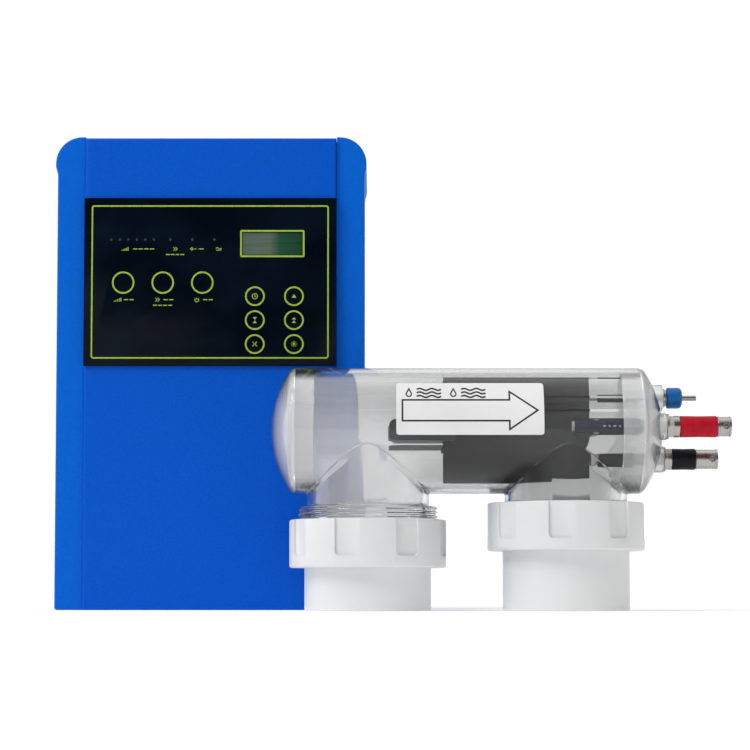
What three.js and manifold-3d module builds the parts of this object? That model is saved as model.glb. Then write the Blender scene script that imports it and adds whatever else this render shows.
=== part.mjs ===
// Salt chlorine generator: a control box in folded steel, and the clear electrolysis cell that it drives.
// Millimetres, +Z up, the fronts face -Y. Box and cell stand next to each other on one level surface.
import * as THREE from "three";
import { mergeVertices } from "three/addons/utils/BufferGeometryUtils.js";
import Module from "manifold-3d";

const wasm = await Module();
wasm.setup();

// ---------------------------------------------------------------- driving dimensions

const seat = 0.3; // clearance between two pieces that rest on each other
const roundSteps = 28; // facets of a full turn on large round pieces
const smallSteps = 12; // facets of a full turn on small round pieces
const curveSteps = 5; // facets of a curve in an outline

// Front panel. Controls are placed from its left or right edge, and up from its middle.
const panel = { height: 126, thickness: 2, drop: 46, gap: 0.1 };
const keyTravel = 0.5;
const keyCap = 1.2; // thickness of a key's disc
const keyFit = 0.3; // clearance round a key
const keyStem = 7; // diameter of a key's stem
const largeKey = { diameter: 17.2, apart: 12.3, fromLeft: 29.3, up: -0.6 };
const smallKey = { diameter: 15.2, apart: 13.9, above: 2.7, fromRight: 31.4, up: -10.8 };
const keyGroupGap = 39.2; // from the last large key to the first column of small ones
const largeKeyNames = ["output_key", "boost_key", "power_key"];
const smallKeyNames = [
  ["clock_key", "minute_key"],
  ["timer_key", "hour_key"],
  ["clear_key", "day_key"],
];
const lcd = { width: 45, height: 17.4, thickness: 5, border: 3, fromRight: 47.6, up: 28.7 };
const lamp = { diameter: 2.6, fromLeft: 20.2, pitch: 6.35, level: 6, up: 31.9, fit: 0.2 };
const singleLamps = [64.3, 80.7, 97.1]; // from the panel's left edge
const lightBar = { height: 6, thickness: 3, overhang: 3 };
const keyBoard = { behind: 12, thickness: 1.6, margin: 8, switchSize: 6 };

// Control box
const caseHeight = 353;
const caseDepth = 118;
const sheet = 1.5; // folded steel
const cheekWall = 2; // side cheeks
const cheekStrip = 21; // width of a cheek's front strip
const plateauRise = 4; // how far the middle of the front stands proud of the cheeks
const plateauReturn = 10; // folded edge behind the plateau's rim
const earRadius = 20; // round top corner of a cheek
const earBulge = 1.6; // how far a cheek's head swells past its side
const earRise = 1.5; // how far a cheek's head stands above the plateau
const earDrop = 28; // height of the swollen head
const earNeck = 8; // height over which the head narrows to the side
const footRadius = 2; // round bottom corner of a cheek
const bayHeight = 28; // the bottom plate stands this far up, over the cable bay
const backRise = 14; // the back ends this far up, so that cables can leave behind
const backReturn = 30; // folded side of the back
const keyhole = { head: 10, shank: 5, spacing: 150, drop: 60 };
const screw = { head: 7, headHeight: 2.5, shank: 4, length: 12, spacing: 150 };

// Inside the box
const transformer = { radius: 50, bore: 16, height: 42, round: 8, aside: -38, lift: 12 };
const clampBolt = { radius: 4, head: 6.8, headHeight: 5, dish: 22, dishHeight: 4, rim: 1.5 };
const powerBoard = { width: 150, height: 95, thickness: 1.6, standoff: 8, drop: 35, inset: 7 };
const heatSink = { width: 70, height: 90, base: 5, fin: 2, fins: 8, depth: 32, aside: 66, lift: 15 };
const gland = { thread: 16, nut: 24, nutHeight: 8, dome: 20, domeHeight: 10, bore: 8, lockHeight: 5 };
const glandPlaces = { mains_gland: -60, cell_lead_gland: 40 };

// Pipe end of a union. The 75 mm pipe sets every diameter of the cell.
const pipeRadius = 37.65; // socket for the pipe
const pipeStop = 3.15; // step that the pipe's end meets
const socketDepth = 42;
const tailWall = 7.35;
const flange = { lip: 2.5, thickness: 6.6 };
const slipRing = { thickness: 1.5, lip: 3.25 };
const oRing = { inset: 6, section: 1.75, squeeze: 0.3 };
const nutBottom = 42.5; // with the nut done up
const nutLip = 4;
const nutFit = 0.5; // radial clearance round the collar's thread and the tail
const nutWall = 5.5;
const nutOver = 2; // how far a nut that is done up reaches past the collar
const fluteCount = 8;
const flute = { width: 17.5, depth: 2.4, rise: 8, corner: 3 };
const inletDrop = 12; // the inlet nut stands four turns undone
const inletPhase = -15; // degrees, of the flute nearest the front
const outletPhase = -8;

// Cell
const collarLip = 2.25; // thread crest past the tail's flange
const collarLength = 19;
const collarWall = 6.25; // step from the port to the thread's crest
const portStub = 8.5; // clear port between its collar and the tube
const portWall = 4;
const portStep = 1.5; // a port is this much slimmer than the tube
const portMargin = 7.5; // tube past each port
const nutGap = 29.5; // between the two union nuts
const tubeWall = 3.5;
const rim = 3; // cap rim between tube and dome
const domeRise = 15;
const spigotLength = 14; // cap's plug inside the tube
const spigotFit = 0.2; // radial clearance of that plug
const capWall = 5;

// Electrodes
const plate = { length: 102, thickness: 1, pitch: 6, count: 5, front: -9, endGap: 36, boreGap: 1.3 };
const comb = { length: 46, overlap: 8, height: 15, round: 4, grip: 0.4, margin: 5 };
const tab = { length: 2.6, height: 10 };
const bus = { thickness: 3, height: 10 };
const studRadius = 4;
const studFit = 0.25; // clearance of a stud in what it passes through
const shrinkWall = 1.7;
const shrinkGap = 0.55; // between the anode's sleeving and the first plate
const sensorRod = { radius: 1.9, sheath: 0.9 };
const anodePlace = 2; // heights of the studs above the tube's centre line
const cathodePlace = { y: 3, z: -20 };
const sensorPlace = { y: 5, z: 24 };
const boss = { radius: 9.5, proud: 0.7, depth: 8.25 };

// Terminals: the length of each piece along its stud
const terminalNut = { radius: 8.9, washer: 1.4 };
const powerEnds = {
  anode: { nut: 9.1, sleeve: 26.1, collar: 9.7 },
  cathode: { nut: 5.7, sleeve: 16.5, collar: 15.7 },
};
const sensorEnd = { nutRadius: 6.8, nut: 2.7, capRadius: 7.5, cap: 10.7, round: 2.5, pin: 10.4 };
const sleeve = { radius: 7.6, fit: 0.2 };
const collar = { radius: 7.25, wall: 1.1, fit: 0.25, lug: 1.5, lugInset: 4 };
const socketBore = { wall: 1.1, depth: 9, pin: 0.8, pinInset: 1.5 };
const studReach = 5; // of a stud into its connector

// Flow label, wrapped round the front of the tube, between two angles above its middle line
const label = { width: 102.8, from: -7.3, to: 43.2, thickness: 0.4, gap: 0.1, shift: 0.8 };

// Where the two units stand
const cellBeside = 188.3; // middle of the cell to the right of the box's middle
const cellAhead = 6; // clear space between a union nut and the front panel

// ---------------------------------------------------------------- sizes that follow

const largePitch = largeKey.diameter + largeKey.apart;
const smallColumn = smallKey.diameter + smallKey.apart;
const smallRow = smallKey.diameter + smallKey.above;
const plateauWidth =
  largeKey.fromLeft +
  (largeKeyNames.length - 1) * largePitch +
  keyGroupGap +
  smallColumn +
  smallKey.fromRight;
const plateauHalf = plateauWidth / 2;
const caseHalf = plateauHalf + cheekStrip;
const panelMiddle = caseHeight - panel.drop - panel.height / 2;
const panelFace = -panel.gap - panel.thickness; // y of the panel's front; the plateau's is 0
const backFace = caseDepth - sheet; // y of the back sheet's inner face
const backSeat = backFace - seat;
const floorTop = bayHeight + sheet; // of the bottom plate
const flangeTop = bayHeight - seat; // of the cover's fold under the bottom plate
const foldMiddle = (sheet + plateauReturn) / 2; // y of the screws through that fold

const tailRadius = pipeRadius + tailWall;
const flangeBottom = nutBottom + nutLip + slipRing.thickness + 2 * seat;
const tailTop = flangeBottom + flange.thickness;
const collarEnd = tailTop + seat;
const collarTop = collarEnd + collarLength;
const threadRadius = tailRadius + flange.lip + collarLip;
const nutBore = threadRadius + nutFit;
const nutRadius = nutBore + nutWall;
const nutHeight = collarTop + nutOver - nutBottom;
const portRadius = threadRadius - collarWall;
const portBore = portRadius - portWall;
const tubeRadius = portRadius + portStep;
const tubeBore = tubeRadius - tubeWall;
const axisHeight = collarTop + portStub + tubeRadius;
const portOffset = nutRadius + nutGap / 2;
const tubeHalf = portOffset + portRadius + portMargin;

const domeSphere = (tubeRadius ** 2 + domeRise ** 2) / (2 * domeRise);
const domeTip = tubeHalf + rim + domeRise;
const bossStart = domeTip - capWall - boss.depth;
const bossEnd = domeTip + boss.proud;
const plateY = (i) => plate.front + i * plate.pitch;
const plateEnd = tubeHalf - plate.endGap;
const plateStart = plateEnd - plate.length;
const outermost = Math.max(Math.abs(plateY(0)), Math.abs(plateY(plate.count - 1)));
const plateHalf = Math.sqrt((tubeBore - plate.boreGap) ** 2 - (outermost + plate.thickness / 2) ** 2);
const busStart = plateEnd + tab.length + seat;
const shrinkRadius = studRadius + studFit + shrinkWall;
const studs = {
  anode: {
    y: plate.front - plate.thickness / 2 - shrinkGap - shrinkRadius,
    z: anodePlace,
    radius: studRadius,
    shrink: { start: plateEnd - 10.8, end: bossStart - 5.25 },
  },
  cathode: {
    ...cathodePlace,
    radius: studRadius,
    shrink: { start: busStart + bus.thickness + 2.6, end: bossStart - 9.25 },
  },
  sensor: {
    ...sensorPlace,
    radius: sensorRod.radius,
    shrink: { start: plateEnd + 6.5, end: bossStart - 7.25 },
  },
};

// ---------------------------------------------------------------- materials

const paint = (color, roughness, metalness = 0) =>
  new THREE.MeshStandardMaterial({ color, roughness, metalness });
const blueCoat = paint(0x0a62cc, 0.45);
const blackGloss = paint(0x05080c, 0.12);
const lcdGlass = paint(0x6f8a72, 0.2);
const lensClear = paint(0xc8d0d4, 0.15);
const boardGreen = paint(0x1f5a34, 0.5);
const coilTape = paint(0xc9a227, 0.6);
const bareSteel = paint(0xb9bcc0, 0.3, 1);
const aluminium = paint(0xc2c6ca, 0.4, 1);
const blackPlastic = paint(0x16181a, 0.5);
const clearAcrylic = new THREE.MeshStandardMaterial({
  color: 0xeef2f3,
  roughness: 0.05,
  transparent: true,
  opacity: 0.35,
});
const coatedTitanium = paint(0x3c3c3e, 0.7, 0.4);
const titanium = paint(0x9a9a98, 0.35, 1);
const nickel = paint(0xc6c4bd, 0.22, 1);
const shrinkBlue = paint(0x171b3c, 0.5);
const redSleeve = paint(0xc01428, 0.45);
const blackSleeve = paint(0x0d0f12, 0.5);
const blueCap = paint(0x0a66b4, 0.4);
const whitePvc = paint(0xe9ebec, 0.4);
const rubber = paint(0x1a1a1a, 0.8);
const labelWhite = paint(0xf2f2f2, 0.5);

// ---------------------------------------------------------------- shape helpers

/** A closed three.js geometry as a solid, with shared vertices merged and empty triangles dropped. */
function solidOf(geometry) {
  const bare = new THREE.BufferGeometry();
  bare.setAttribute("position", geometry.getAttribute("position").clone());
  if (geometry.index) bare.setIndex(geometry.index.clone());
  const merged = mergeVertices(bare, 1e-4);
  const index = merged.index.array;
  const kept = [];
  for (let i = 0; i < index.length; i += 3) {
    const [a, b, c] = [index[i], index[i + 1], index[i + 2]];
    if (a !== b && b !== c && c !== a) kept.push(a, b, c);
  }
  return new wasm.Manifold(
    new wasm.Mesh({
      numProp: 3,
      vertProperties: merged.attributes.position.array,
      triVerts: new Uint32Array(kept),
    }),
  );
}

/** A solid back as a three.js geometry. */
function geometryOf(solid) {
  const made = solid.getMesh();
  const geometry = new THREE.BufferGeometry();
  geometry.setAttribute("position", new THREE.BufferAttribute(new Float32Array(made.vertProperties), 3));
  geometry.setIndex(new THREE.BufferAttribute(new Uint32Array(made.triVerts), 1));
  geometry.computeVertexNormals();
  return geometry;
}

const join = (first, ...rest) =>
  geometryOf(rest.reduce((sum, piece) => sum.add(solidOf(piece)), solidOf(first)));
const cut = (first, ...rest) =>
  geometryOf(rest.reduce((left, piece) => left.subtract(solidOf(piece)), solidOf(first)));

/** A block between two corners. */
function block(x0, x1, y0, y1, z0, z1) {
  const geometry = new THREE.BoxGeometry(x1 - x0, y1 - y0, z1 - z0);
  return geometry.translate((x0 + x1) / 2, (y0 + y1) / 2, (z0 + z1) / 2);
}

/** A profile of [radius, height] points turned about Z, closed on itself or from axis to axis. */
function turned(profile, steps = roundSteps) {
  const points = profile.map(([r, z]) => new THREE.Vector2(r, z));
  const last = points[points.length - 1];
  if (points[0].x > 0 || last.x > 0) points.push(points[0].clone());
  if (THREE.ShapeUtils.area(points) < 0) points.reverse();
  return geometryOf(solidOf(new THREE.LatheGeometry(points, steps).rotateX(Math.PI / 2)));
}

const rod = (radius, z0, z1, steps = smallSteps) =>
  turned([[0, z0], [radius, z0], [radius, z1], [0, z1]], steps);
const tube = (outer, inner, z0, z1, steps = smallSteps) =>
  turned([[inner, z0], [outer, z0], [outer, z1], [inner, z1]], steps);

/** Lays something made along Z down along X, its far end towards +X. */
const alongX = (geometry) => geometry.rotateY(Math.PI / 2);
/** Lays something made along Z down along Y, its far end towards +Y. */
const alongY = (geometry) => geometry.rotateX(-Math.PI / 2);
const at = (geometry, x, y, z) => geometry.translate(x, y, z);

/** A flat shape drawn in x and z, with its thickness from y0 to y1. */
function slab(shape, y0, y1, curveSegments = curveSteps) {
  const options = { depth: y1 - y0, bevelEnabled: false, curveSegments };
  return new THREE.ExtrudeGeometry(shape, options).rotateX(Math.PI / 2).translate(0, y1, 0);
}

function mesh(name, geometry, material) {
  const made = new THREE.Mesh(geometry, material);
  made.name = name;
  return made;
}

const range = (count) => Array.from({ length: count }, (_, i) => i);

// ---------------------------------------------------------------- control box

/** Half of the case's front outline, right of x = inner, grown inwards by a wall. */
function halfOutline(wall, inner, low) {
  const side = caseHalf - wall;
  const top = caseHeight + earRise - wall;
  const bulged = side + earBulge;
  const corner = earRadius - wall;
  const neck = caseHeight - earDrop;
  const foot = Math.max(footRadius - wall, 0);
  const shape = new THREE.Shape();
  shape.moveTo(inner, low);
  shape.lineTo(side - foot, low);
  if (foot > 0) shape.quadraticCurveTo(side, low, side, low + foot);
  shape.lineTo(side, neck);
  shape.bezierCurveTo(side, neck + earNeck / 2, bulged, neck + earNeck / 2, bulged, neck + earNeck);
  shape.lineTo(bulged, top - corner);
  shape.absarc(bulged - corner, top - corner, corner, 0, Math.PI / 2, false);
  shape.lineTo(inner, top);
  return shape;
}

/** Both halves of that outline as one closed shape. */
function wholeOutline(wall, low) {
  const right = halfOutline(wall, 0, low).getPoints(curveSteps);
  const left = right.filter((point) => point.x > 0).map((point) => new THREE.Vector2(-point.x, point.y));
  return new THREE.Shape([...right, ...left.reverse()]);
}

/** A side cheek: front strip, side wall and rounded head in one, open behind and towards the middle. */
function cheek(name, hand) {
  const inner = plateauHalf + seat;
  const front = plateauRise;
  const shell = cut(
    slab(halfOutline(0, inner, 0), front, caseDepth),
    slab(halfOutline(cheekWall, inner - 1, -1), front + cheekWall, caseDepth + 1),
  );
  const made = mesh(name, shell, blueCoat);
  made.scale.x = hand;
  return made;
}

/** Every key with its name, size and place on the panel. */
function keyPlaces() {
  const large = largeKeyNames.map((name, i) => ({
    name,
    diameter: largeKey.diameter,
    x: largeKey.fromLeft + i * largePitch - plateauHalf,
    up: largeKey.up,
  }));
  const small = smallKeyNames.flatMap((row, r) =>
    row.map((name, c) => ({
      name,
      diameter: smallKey.diameter,
      x: plateauHalf - smallKey.fromRight - (row.length - 1 - c) * smallColumn,
      up: smallKey.up - r * smallRow,
    })),
  );
  return [...large, ...small];
}

const lampPlaces = [...range(lamp.level).map((i) => lamp.fromLeft + i * lamp.pitch), ...singleLamps].map(
  (place) => place - plateauHalf,
);
const firstLamp = lampPlaces[0];
const lastLamp = lampPlaces[lampPlaces.length - 1];

/** A round along Y through a point of the panel. */
const panelRound = (diameter, x, up, y0, y1, steps = 16) =>
  at(alongY(rod(diameter / 2, y0, y1, steps)), x, 0, panelMiddle + up);

/** A block behind the panel around the display, grown on every side. */
function lcdBlock(grow, y0, y1) {
  const x = plateauHalf - lcd.fromRight;
  const z = panelMiddle + lcd.up;
  const [halfW, halfH] = [lcd.width / 2 + grow, lcd.height / 2 + grow];
  return block(x - halfW, x + halfW, y0, y1, z - halfH, z + halfH);
}

/** A block around the row of lamps. */
const lampBlock = (overhang, height, y0, y1) =>
  block(
    firstLamp - overhang,
    lastLamp + overhang,
    y0,
    y1,
    panelMiddle + lamp.up - height / 2,
    panelMiddle + lamp.up + height / 2,
  );

/** The raised front: folded rim, a fold under the bottom plate, and openings for all that is on the panel. */
function frontCover() {
  const whole = block(-plateauHalf, plateauHalf, 0, plateauReturn, 0, caseHeight);
  const hollow = (z0, z1) =>
    block(-plateauHalf + sheet, plateauHalf - sheet, sheet, plateauReturn + 1, z0, z1);
  const stems = keyPlaces().map((key) =>
    panelRound(keyStem + 2, key.x, key.up, -1, sheet + 1, 10),
  );
  const screws = [-1, 1].map((side) =>
    at(
      rod(screw.shank / 2 + seat, flangeTop - sheet - 1, flangeTop + 1, 10),
      (side * screw.spacing) / 2,
      foldMiddle,
      0,
    ),
  );
  return cut(
    whole,
    hollow(-1, flangeTop - sheet),
    hollow(flangeTop, caseHeight - sheet),
    lcdBlock(keyFit, -1, sheet + 1),
    lampBlock(lamp.diameter, 2 * lamp.diameter, -1, sheet + 1),
    ...stems,
    ...screws,
  );
}

/** The gloss panel on the raised front. */
function fasciaPanel() {
  const [low, high] = [panelMiddle - panel.height / 2, panelMiddle + panel.height / 2];
  const whole = block(-plateauHalf, plateauHalf, panelFace, -panel.gap, low, high);
  const [y0, y1] = [panelFace - 1, 1];
  const keys = keyPlaces().map((key) => panelRound(key.diameter + 2 * keyFit, key.x, key.up, y0, y1));
  const lamps = lampPlaces.map((x) => panelRound(lamp.diameter, x, lamp.up, y0, y1, 6));
  return cut(whole, lcdBlock(0, y0, y1), ...keys, ...lamps);
}

/** One key: a disc in the panel, on a stem that ends short of its switch. */
function keyCapAndStem({ diameter, x, up }) {
  const stemEnd = keyBoard.behind - keyBoard.switchSize / 2 - keyTravel - seat;
  const disc = panelRound(diameter, x, up, panelFace, panelFace + keyCap);
  const stem = panelRound(keyStem, x, up, panelFace + keyCap / 2, stemEnd, 10);
  return join(disc, stem);
}

/** The display: a window in the panel on a wider block behind the cover. */
const lcdModule = () =>
  join(
    lcdBlock(-keyFit, panelFace + 0.6, sheet + 1),
    lcdBlock(lcd.border, sheet + seat, sheet + seat + lcd.thickness),
  );

/** A clear bar behind the cover with one short light pipe for each lamp. */
function indicatorStrip() {
  const bar = lampBlock(lightBar.overhang, lightBar.height, sheet + seat, sheet + seat + lightBar.thickness);
  const pipes = lampPlaces.map((x) =>
    panelRound(lamp.diameter - 2 * lamp.fit, x, lamp.up, panelFace + lamp.fit, sheet + 1, 6),
  );
  return join(bar, ...pipes);
}

/** The circuit board behind the keys, with a square switch under each stem. */
function keypadBoard() {
  const places = keyPlaces();
  const reach = largeKey.diameter / 2 + keyBoard.margin;
  const xs = places.map((key) => key.x);
  const lowest = Math.min(...places.map((key) => key.up));
  const board = block(
    Math.min(...xs) - reach,
    Math.max(...xs) + reach,
    keyBoard.behind,
    keyBoard.behind + keyBoard.thickness,
    panelMiddle + lowest - reach,
    panelMiddle + lamp.up + reach,
  );
  const half = keyBoard.switchSize / 2;
  const switches = places.map((key) =>
    at(
      block(-half, half, keyBoard.behind - half, keyBoard.behind + keyBoard.thickness / 2, -half, half),
      key.x,
      0,
      panelMiddle + key.up,
    ),
  );
  return join(board, ...switches);
}

/** A hanging hole through the back: a round for a screw's head with a slot above it for the shank. */
function hangingHole(side) {
  const [y0, y1] = [backFace - 1, caseDepth + 1];
  const x = (side * keyhole.spacing) / 2;
  const z = caseHeight - keyhole.drop;
  const round = at(alongY(rod(keyhole.head / 2, y0, y1)), x, 0, z);
  return [round, block(x - keyhole.shank / 2, x + keyhole.shank / 2, y0, y1, z, z + keyhole.head)];
}

/** The back of the case: back sheet inside the cheeks, two folded sides, and the roof over the middle. */
function backPan() {
  const half = caseHalf - cheekWall - seat;
  const sides = [-1, 1];
  const back = slab(wholeOutline(cheekWall + seat, backRise), backFace, caseDepth);
  const folds = sides.map((side) => {
    const [a, b] = [side * half, side * (half - sheet)];
    const top = caseHeight - earDrop;
    return block(Math.min(a, b), Math.max(a, b), caseDepth - backReturn, caseDepth, backRise, top);
  });
  const roof = block(
    -plateauHalf,
    plateauHalf,
    plateauReturn + seat,
    caseDepth,
    caseHeight - sheet,
    caseHeight,
  );
  return cut(join(back, ...folds, roof), ...sides.flatMap(hangingHole));
}

/** The plate over the cable bay, with a tab over the cover's fold, and holes for glands and screws. */
function bottomPlate() {
  const half = caseHalf - cheekWall - sheet - 2 * seat;
  const tabHalf = plateauHalf - sheet - seat;
  const main = block(-half, half, plateauReturn + seat, backSeat, bayHeight, floorTop);
  const front = block(-tabHalf, tabHalf, sheet + seat, plateauReturn + 1, bayHeight, floorTop);
  const glands = Object.values(glandPlaces).map((x) =>
    at(rod(gland.thread / 2 + seat, -1, sheet + 1), x, caseDepth / 2, bayHeight),
  );
  const screws = [-1, 1].map((side) =>
    at(
      rod(screw.shank / 2 + seat, -1, sheet + 1, 10),
      (side * screw.spacing) / 2,
      foldMiddle,
      bayHeight,
    ),
  );
  return cut(join(main, front), ...glands, ...screws);
}

/** A cable gland: dome nut and hexagon under the bottom plate, a thread through it, and a lock nut on top. */
function cableGland(x) {
  const under = bayHeight - seat;
  const hexLow = under - gland.nutHeight;
  const low = hexLow - gland.domeHeight;
  const lockLow = floorTop + seat;
  const hexagon = rod(gland.nut / 2, hexLow, under, 6);
  const dome = turned([
    [0, low],
    [gland.dome / 2 - 3, low],
    [gland.dome / 2, low + 4],
    [gland.dome / 2, hexLow + 1],
    [0, hexLow + 1],
  ], smallSteps);
  const thread = rod(gland.thread / 2, under - 1, lockLow + gland.lockHeight + 3);
  const lock = rod(gland.nut / 2, lockLow, lockLow + gland.lockHeight, 6);
  const bore = rod(gland.bore / 2, 0, lockLow + gland.lockHeight + 4, 12);
  return at(cut(join(hexagon, dome, thread, lock), bore), x, caseDepth / 2, 0);
}

const transformerHeight = floorTop + transformer.lift + transformer.radius;

/** The ring-core transformer, its axis along Y, on the back sheet. */
function ringTransformer() {
  const { radius, bore, height, round } = transformer;
  const corner = (r, z, quarter) =>
    range(3).map((i) => {
      const a = ((quarter + i / 2) * Math.PI) / 2;
      return [r + round * Math.cos(a), z + round * Math.sin(a)];
    });
  const ring = turned([
    ...corner(bore + round, round, 2),
    ...corner(radius - round, round, 3),
    ...corner(radius - round, height - round, 0),
    ...corner(bore + round, height - round, 1),
  ], 28);
  return at(alongY(ring), transformer.aside, backSeat - height, transformerHeight);
}

/** The dished washer and through bolt that hold the transformer down. */
function transformerClamp() {
  const washerBack = backSeat - transformer.height - seat;
  const { radius, head, headHeight, dish, dishHeight, rim: dishRim } = clampBolt;
  const dished = turned([
    [0, 0],
    [radius + 4, 0],
    [dish, dishHeight - dishRim],
    [dish, dishHeight],
    [0, dishHeight],
  ]);
  const washer = at(alongY(dished), 0, washerBack - dishHeight, 0);
  const shank = alongY(rod(radius, washerBack - dishHeight / 2, backSeat));
  const hexHead = alongY(
    rod(head, washerBack - dishHeight - headHeight, washerBack - dishHeight / 2, 6),
  );
  return at(join(washer, shank, hexHead), transformer.aside, 0, transformerHeight);
}

/** The power board, populated: relays, capacitors, a terminal strip and its four standoffs. */
function powerSupply() {
  const back = backSeat - powerBoard.standoff;
  const front = back - powerBoard.thickness;
  const into = front + powerBoard.thickness / 2;
  const [halfW, halfH] = [powerBoard.width / 2, powerBoard.height / 2];
  const board = block(-halfW, halfW, front, back, -halfH, halfH);
  const posts = [-1, 1].flatMap((sideX) =>
    [-1, 1].map((sideZ) =>
      at(
        alongY(rod(3, back - 0.5, backSeat, 8)),
        sideX * (halfW - powerBoard.inset),
        0,
        sideZ * (halfH - powerBoard.inset),
      ),
    ),
  );
  const relays = range(3).map((i) => at(block(-9, 9, front - 16, into, -9, 9), 22 * i - 51, 0, 26));
  const cans = range(2).map((i) => at(alongY(rod(11, front - 30, into)), 30 + 28 * i, 0, 22));
  const strip = block(-62, 62, front - 12, into, -40, -28);
  const chip = block(-20, 10, front - 4, into, -14, -2);
  const middle = caseHeight - powerBoard.drop - halfH;
  return at(join(board, ...posts, ...relays, ...cans, strip, chip), 0, 0, middle);
}

/** The finned aluminium block that cools the rectifier. */
function coolingFins() {
  const { width, height, base, fin, fins, depth, aside, lift } = heatSink;
  const basePlate = block(0, width, backSeat - base, backSeat, 0, height);
  const pitch = (width - fin) / (fins - 1);
  const blades = range(fins).map((i) =>
    block(i * pitch, i * pitch + fin, backSeat - depth, backSeat - base / 2, 0, height),
  );
  return at(join(basePlate, ...blades), aside - width / 2, 0, floorTop + lift);
}

/** A pan-head screw from the cable bay, up through the cover's fold into the bottom plate. */
function coverScrew(side) {
  const under = flangeTop - sheet - seat;
  const pan = rod(screw.head / 2, under - screw.headHeight, under);
  const shank = rod(screw.shank / 2, under - 1, under + screw.length, 10);
  return at(join(pan, shank), (side * screw.spacing) / 2, foldMiddle, 0);
}

function controlBox() {
  const group = new THREE.Group();
  group.add(
    cheek("left_cheek", -1),
    cheek("right_cheek", 1),
    mesh("back_pan", backPan(), blueCoat),
    mesh("front_cover", frontCover(), blueCoat),
    mesh("bottom_plate", bottomPlate(), blueCoat),
    mesh("fascia_panel", fasciaPanel(), blackGloss),
    mesh("lcd_module", lcdModule(), lcdGlass),
    mesh("indicator_strip", indicatorStrip(), lensClear),
    mesh("keypad_board", keypadBoard(), boardGreen),
    mesh("ring_transformer", ringTransformer(), coilTape),
    mesh("transformer_clamp", transformerClamp(), bareSteel),
    mesh("power_board", powerSupply(), boardGreen),
    mesh("heat_sink", coolingFins(), aluminium),
    mesh("left_cover_screw", coverScrew(-1), bareSteel),
    mesh("right_cover_screw", coverScrew(1), bareSteel),
  );
  for (const place of keyPlaces()) group.add(mesh(place.name, keyCapAndStem(place), blackGloss));
  for (const [name, x] of Object.entries(glandPlaces)) group.add(mesh(name, cableGland(x), blackPlastic));
  return group;
}

// ---------------------------------------------------------------- cell, about its own centre line

/** Moves a piece made about the tube's centre line up to its height. */
const onAxis = (geometry) => geometry.translate(0, 0, axisHeight);

/** The clear housing: a tube with two collared ports hanging from it. */
function cellBody() {
  const outside = alongX(rod(tubeRadius, -tubeHalf, tubeHalf, roundSteps));
  const inside = alongX(rod(tubeBore, -tubeHalf - 1, tubeHalf + 1, roundSteps));
  const [top, bottom] = [collarTop - axisHeight, collarEnd - axisHeight];
  const port = [
    [0, 0],
    [portRadius, 0],
    [portRadius, top],
    [threadRadius - 1, top],
    [threadRadius, top - 1],
    [threadRadius, bottom + 1],
    [threadRadius - 1, bottom],
    [0, bottom],
  ];
  const ports = [-1, 1].map((side) => at(turned(port), side * portOffset, 0, 0));
  const passages = [-1, 1].map((side) =>
    at(rod(portBore, bottom - 1, 0, roundSteps), side * portOffset, 0, 0),
  );
  return onAxis(cut(join(outside, ...ports), inside, ...passages));
}

/** A dome's half section from its rim to the axis, for a sphere shrunk by a wall. */
function domeArc(wall, outer) {
  const steps = 4;
  const radius = domeSphere - wall;
  const edge = Math.asin(outer / radius);
  return range(steps + 1).map((i) => {
    const a = edge * (1 - i / steps);
    return [i === steps ? 0 : radius * Math.sin(a), domeTip - domeSphere + radius * Math.cos(a)];
  });
}

/** A domed end cap with its spigot in the tube, for the +X end. */
function endCap() {
  const plug = tubeBore - spigotFit;
  const inner = plug - capWall / 2;
  const start = tubeHalf - spigotLength;
  return alongX(
    turned([
      ...domeArc(capWall, inner).reverse(),
      [inner, start],
      [plug, start],
      [plug, tubeHalf + seat],
      [tubeRadius, tubeHalf + seat],
      ...domeArc(0, tubeRadius),
    ]),
  );
}

/** The +X cap, with a boss and a bore for each stud. */
function drilledCap() {
  const places = Object.values(studs);
  const bosses = places.map(({ y, z }) => at(alongX(rod(boss.radius, bossStart, bossEnd)), 0, y, z));
  const bores = places.map(({ y, z, radius }) =>
    at(alongX(rod(radius + studFit, bossStart - 1, bossEnd + 1, 12)), 0, y, z),
  );
  return cut(join(endCap(), ...bosses), ...bores);
}

const isAnode = (i) => i % 2 === 0;

/** One electrode plate; its tab reaches the bus bar of its own polarity. */
function electrode(i) {
  const half = plate.thickness / 2;
  const y = plateY(i);
  const { z } = isAnode(i) ? studs.anode : studs.cathode;
  const body = block(plateStart, plateEnd, y - half, y + half, -plateHalf, plateHalf);
  const lug = block(
    plateEnd - 1,
    plateEnd + tab.length,
    y - half,
    y + half,
    z - tab.height / 2,
    z + tab.height / 2,
  );
  return onAxis(join(body, lug));
}

/** The insulating comb that spaces the plates at their free end. */
function plateComb() {
  const end = plateStart + comb.overlap;
  const start = end - comb.length;
  const half = comb.height / 2;
  const { round } = comb;
  const shape = new THREE.Shape();
  shape.moveTo(end, -half);
  shape.lineTo(end, half);
  shape.lineTo(start + round, half);
  shape.absarc(start + round, half - round, round, Math.PI / 2, Math.PI, false);
  shape.lineTo(start, -half + round);
  shape.absarc(start + round, -half + round, round, Math.PI, (3 * Math.PI) / 2, false);
  const slotHalf = (plate.thickness + comb.grip) / 2;
  const slots = range(plate.count).map((i) =>
    block(
      plateStart - comb.grip,
      end + 1,
      plateY(i) - slotHalf,
      plateY(i) + slotHalf,
      -half - 1,
      half + 1,
    ),
  );
  const whole = slab(shape, plateY(0) - comb.margin, plateY(plate.count - 1) + comb.margin);
  return onAxis(cut(whole, ...slots));
}

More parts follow.
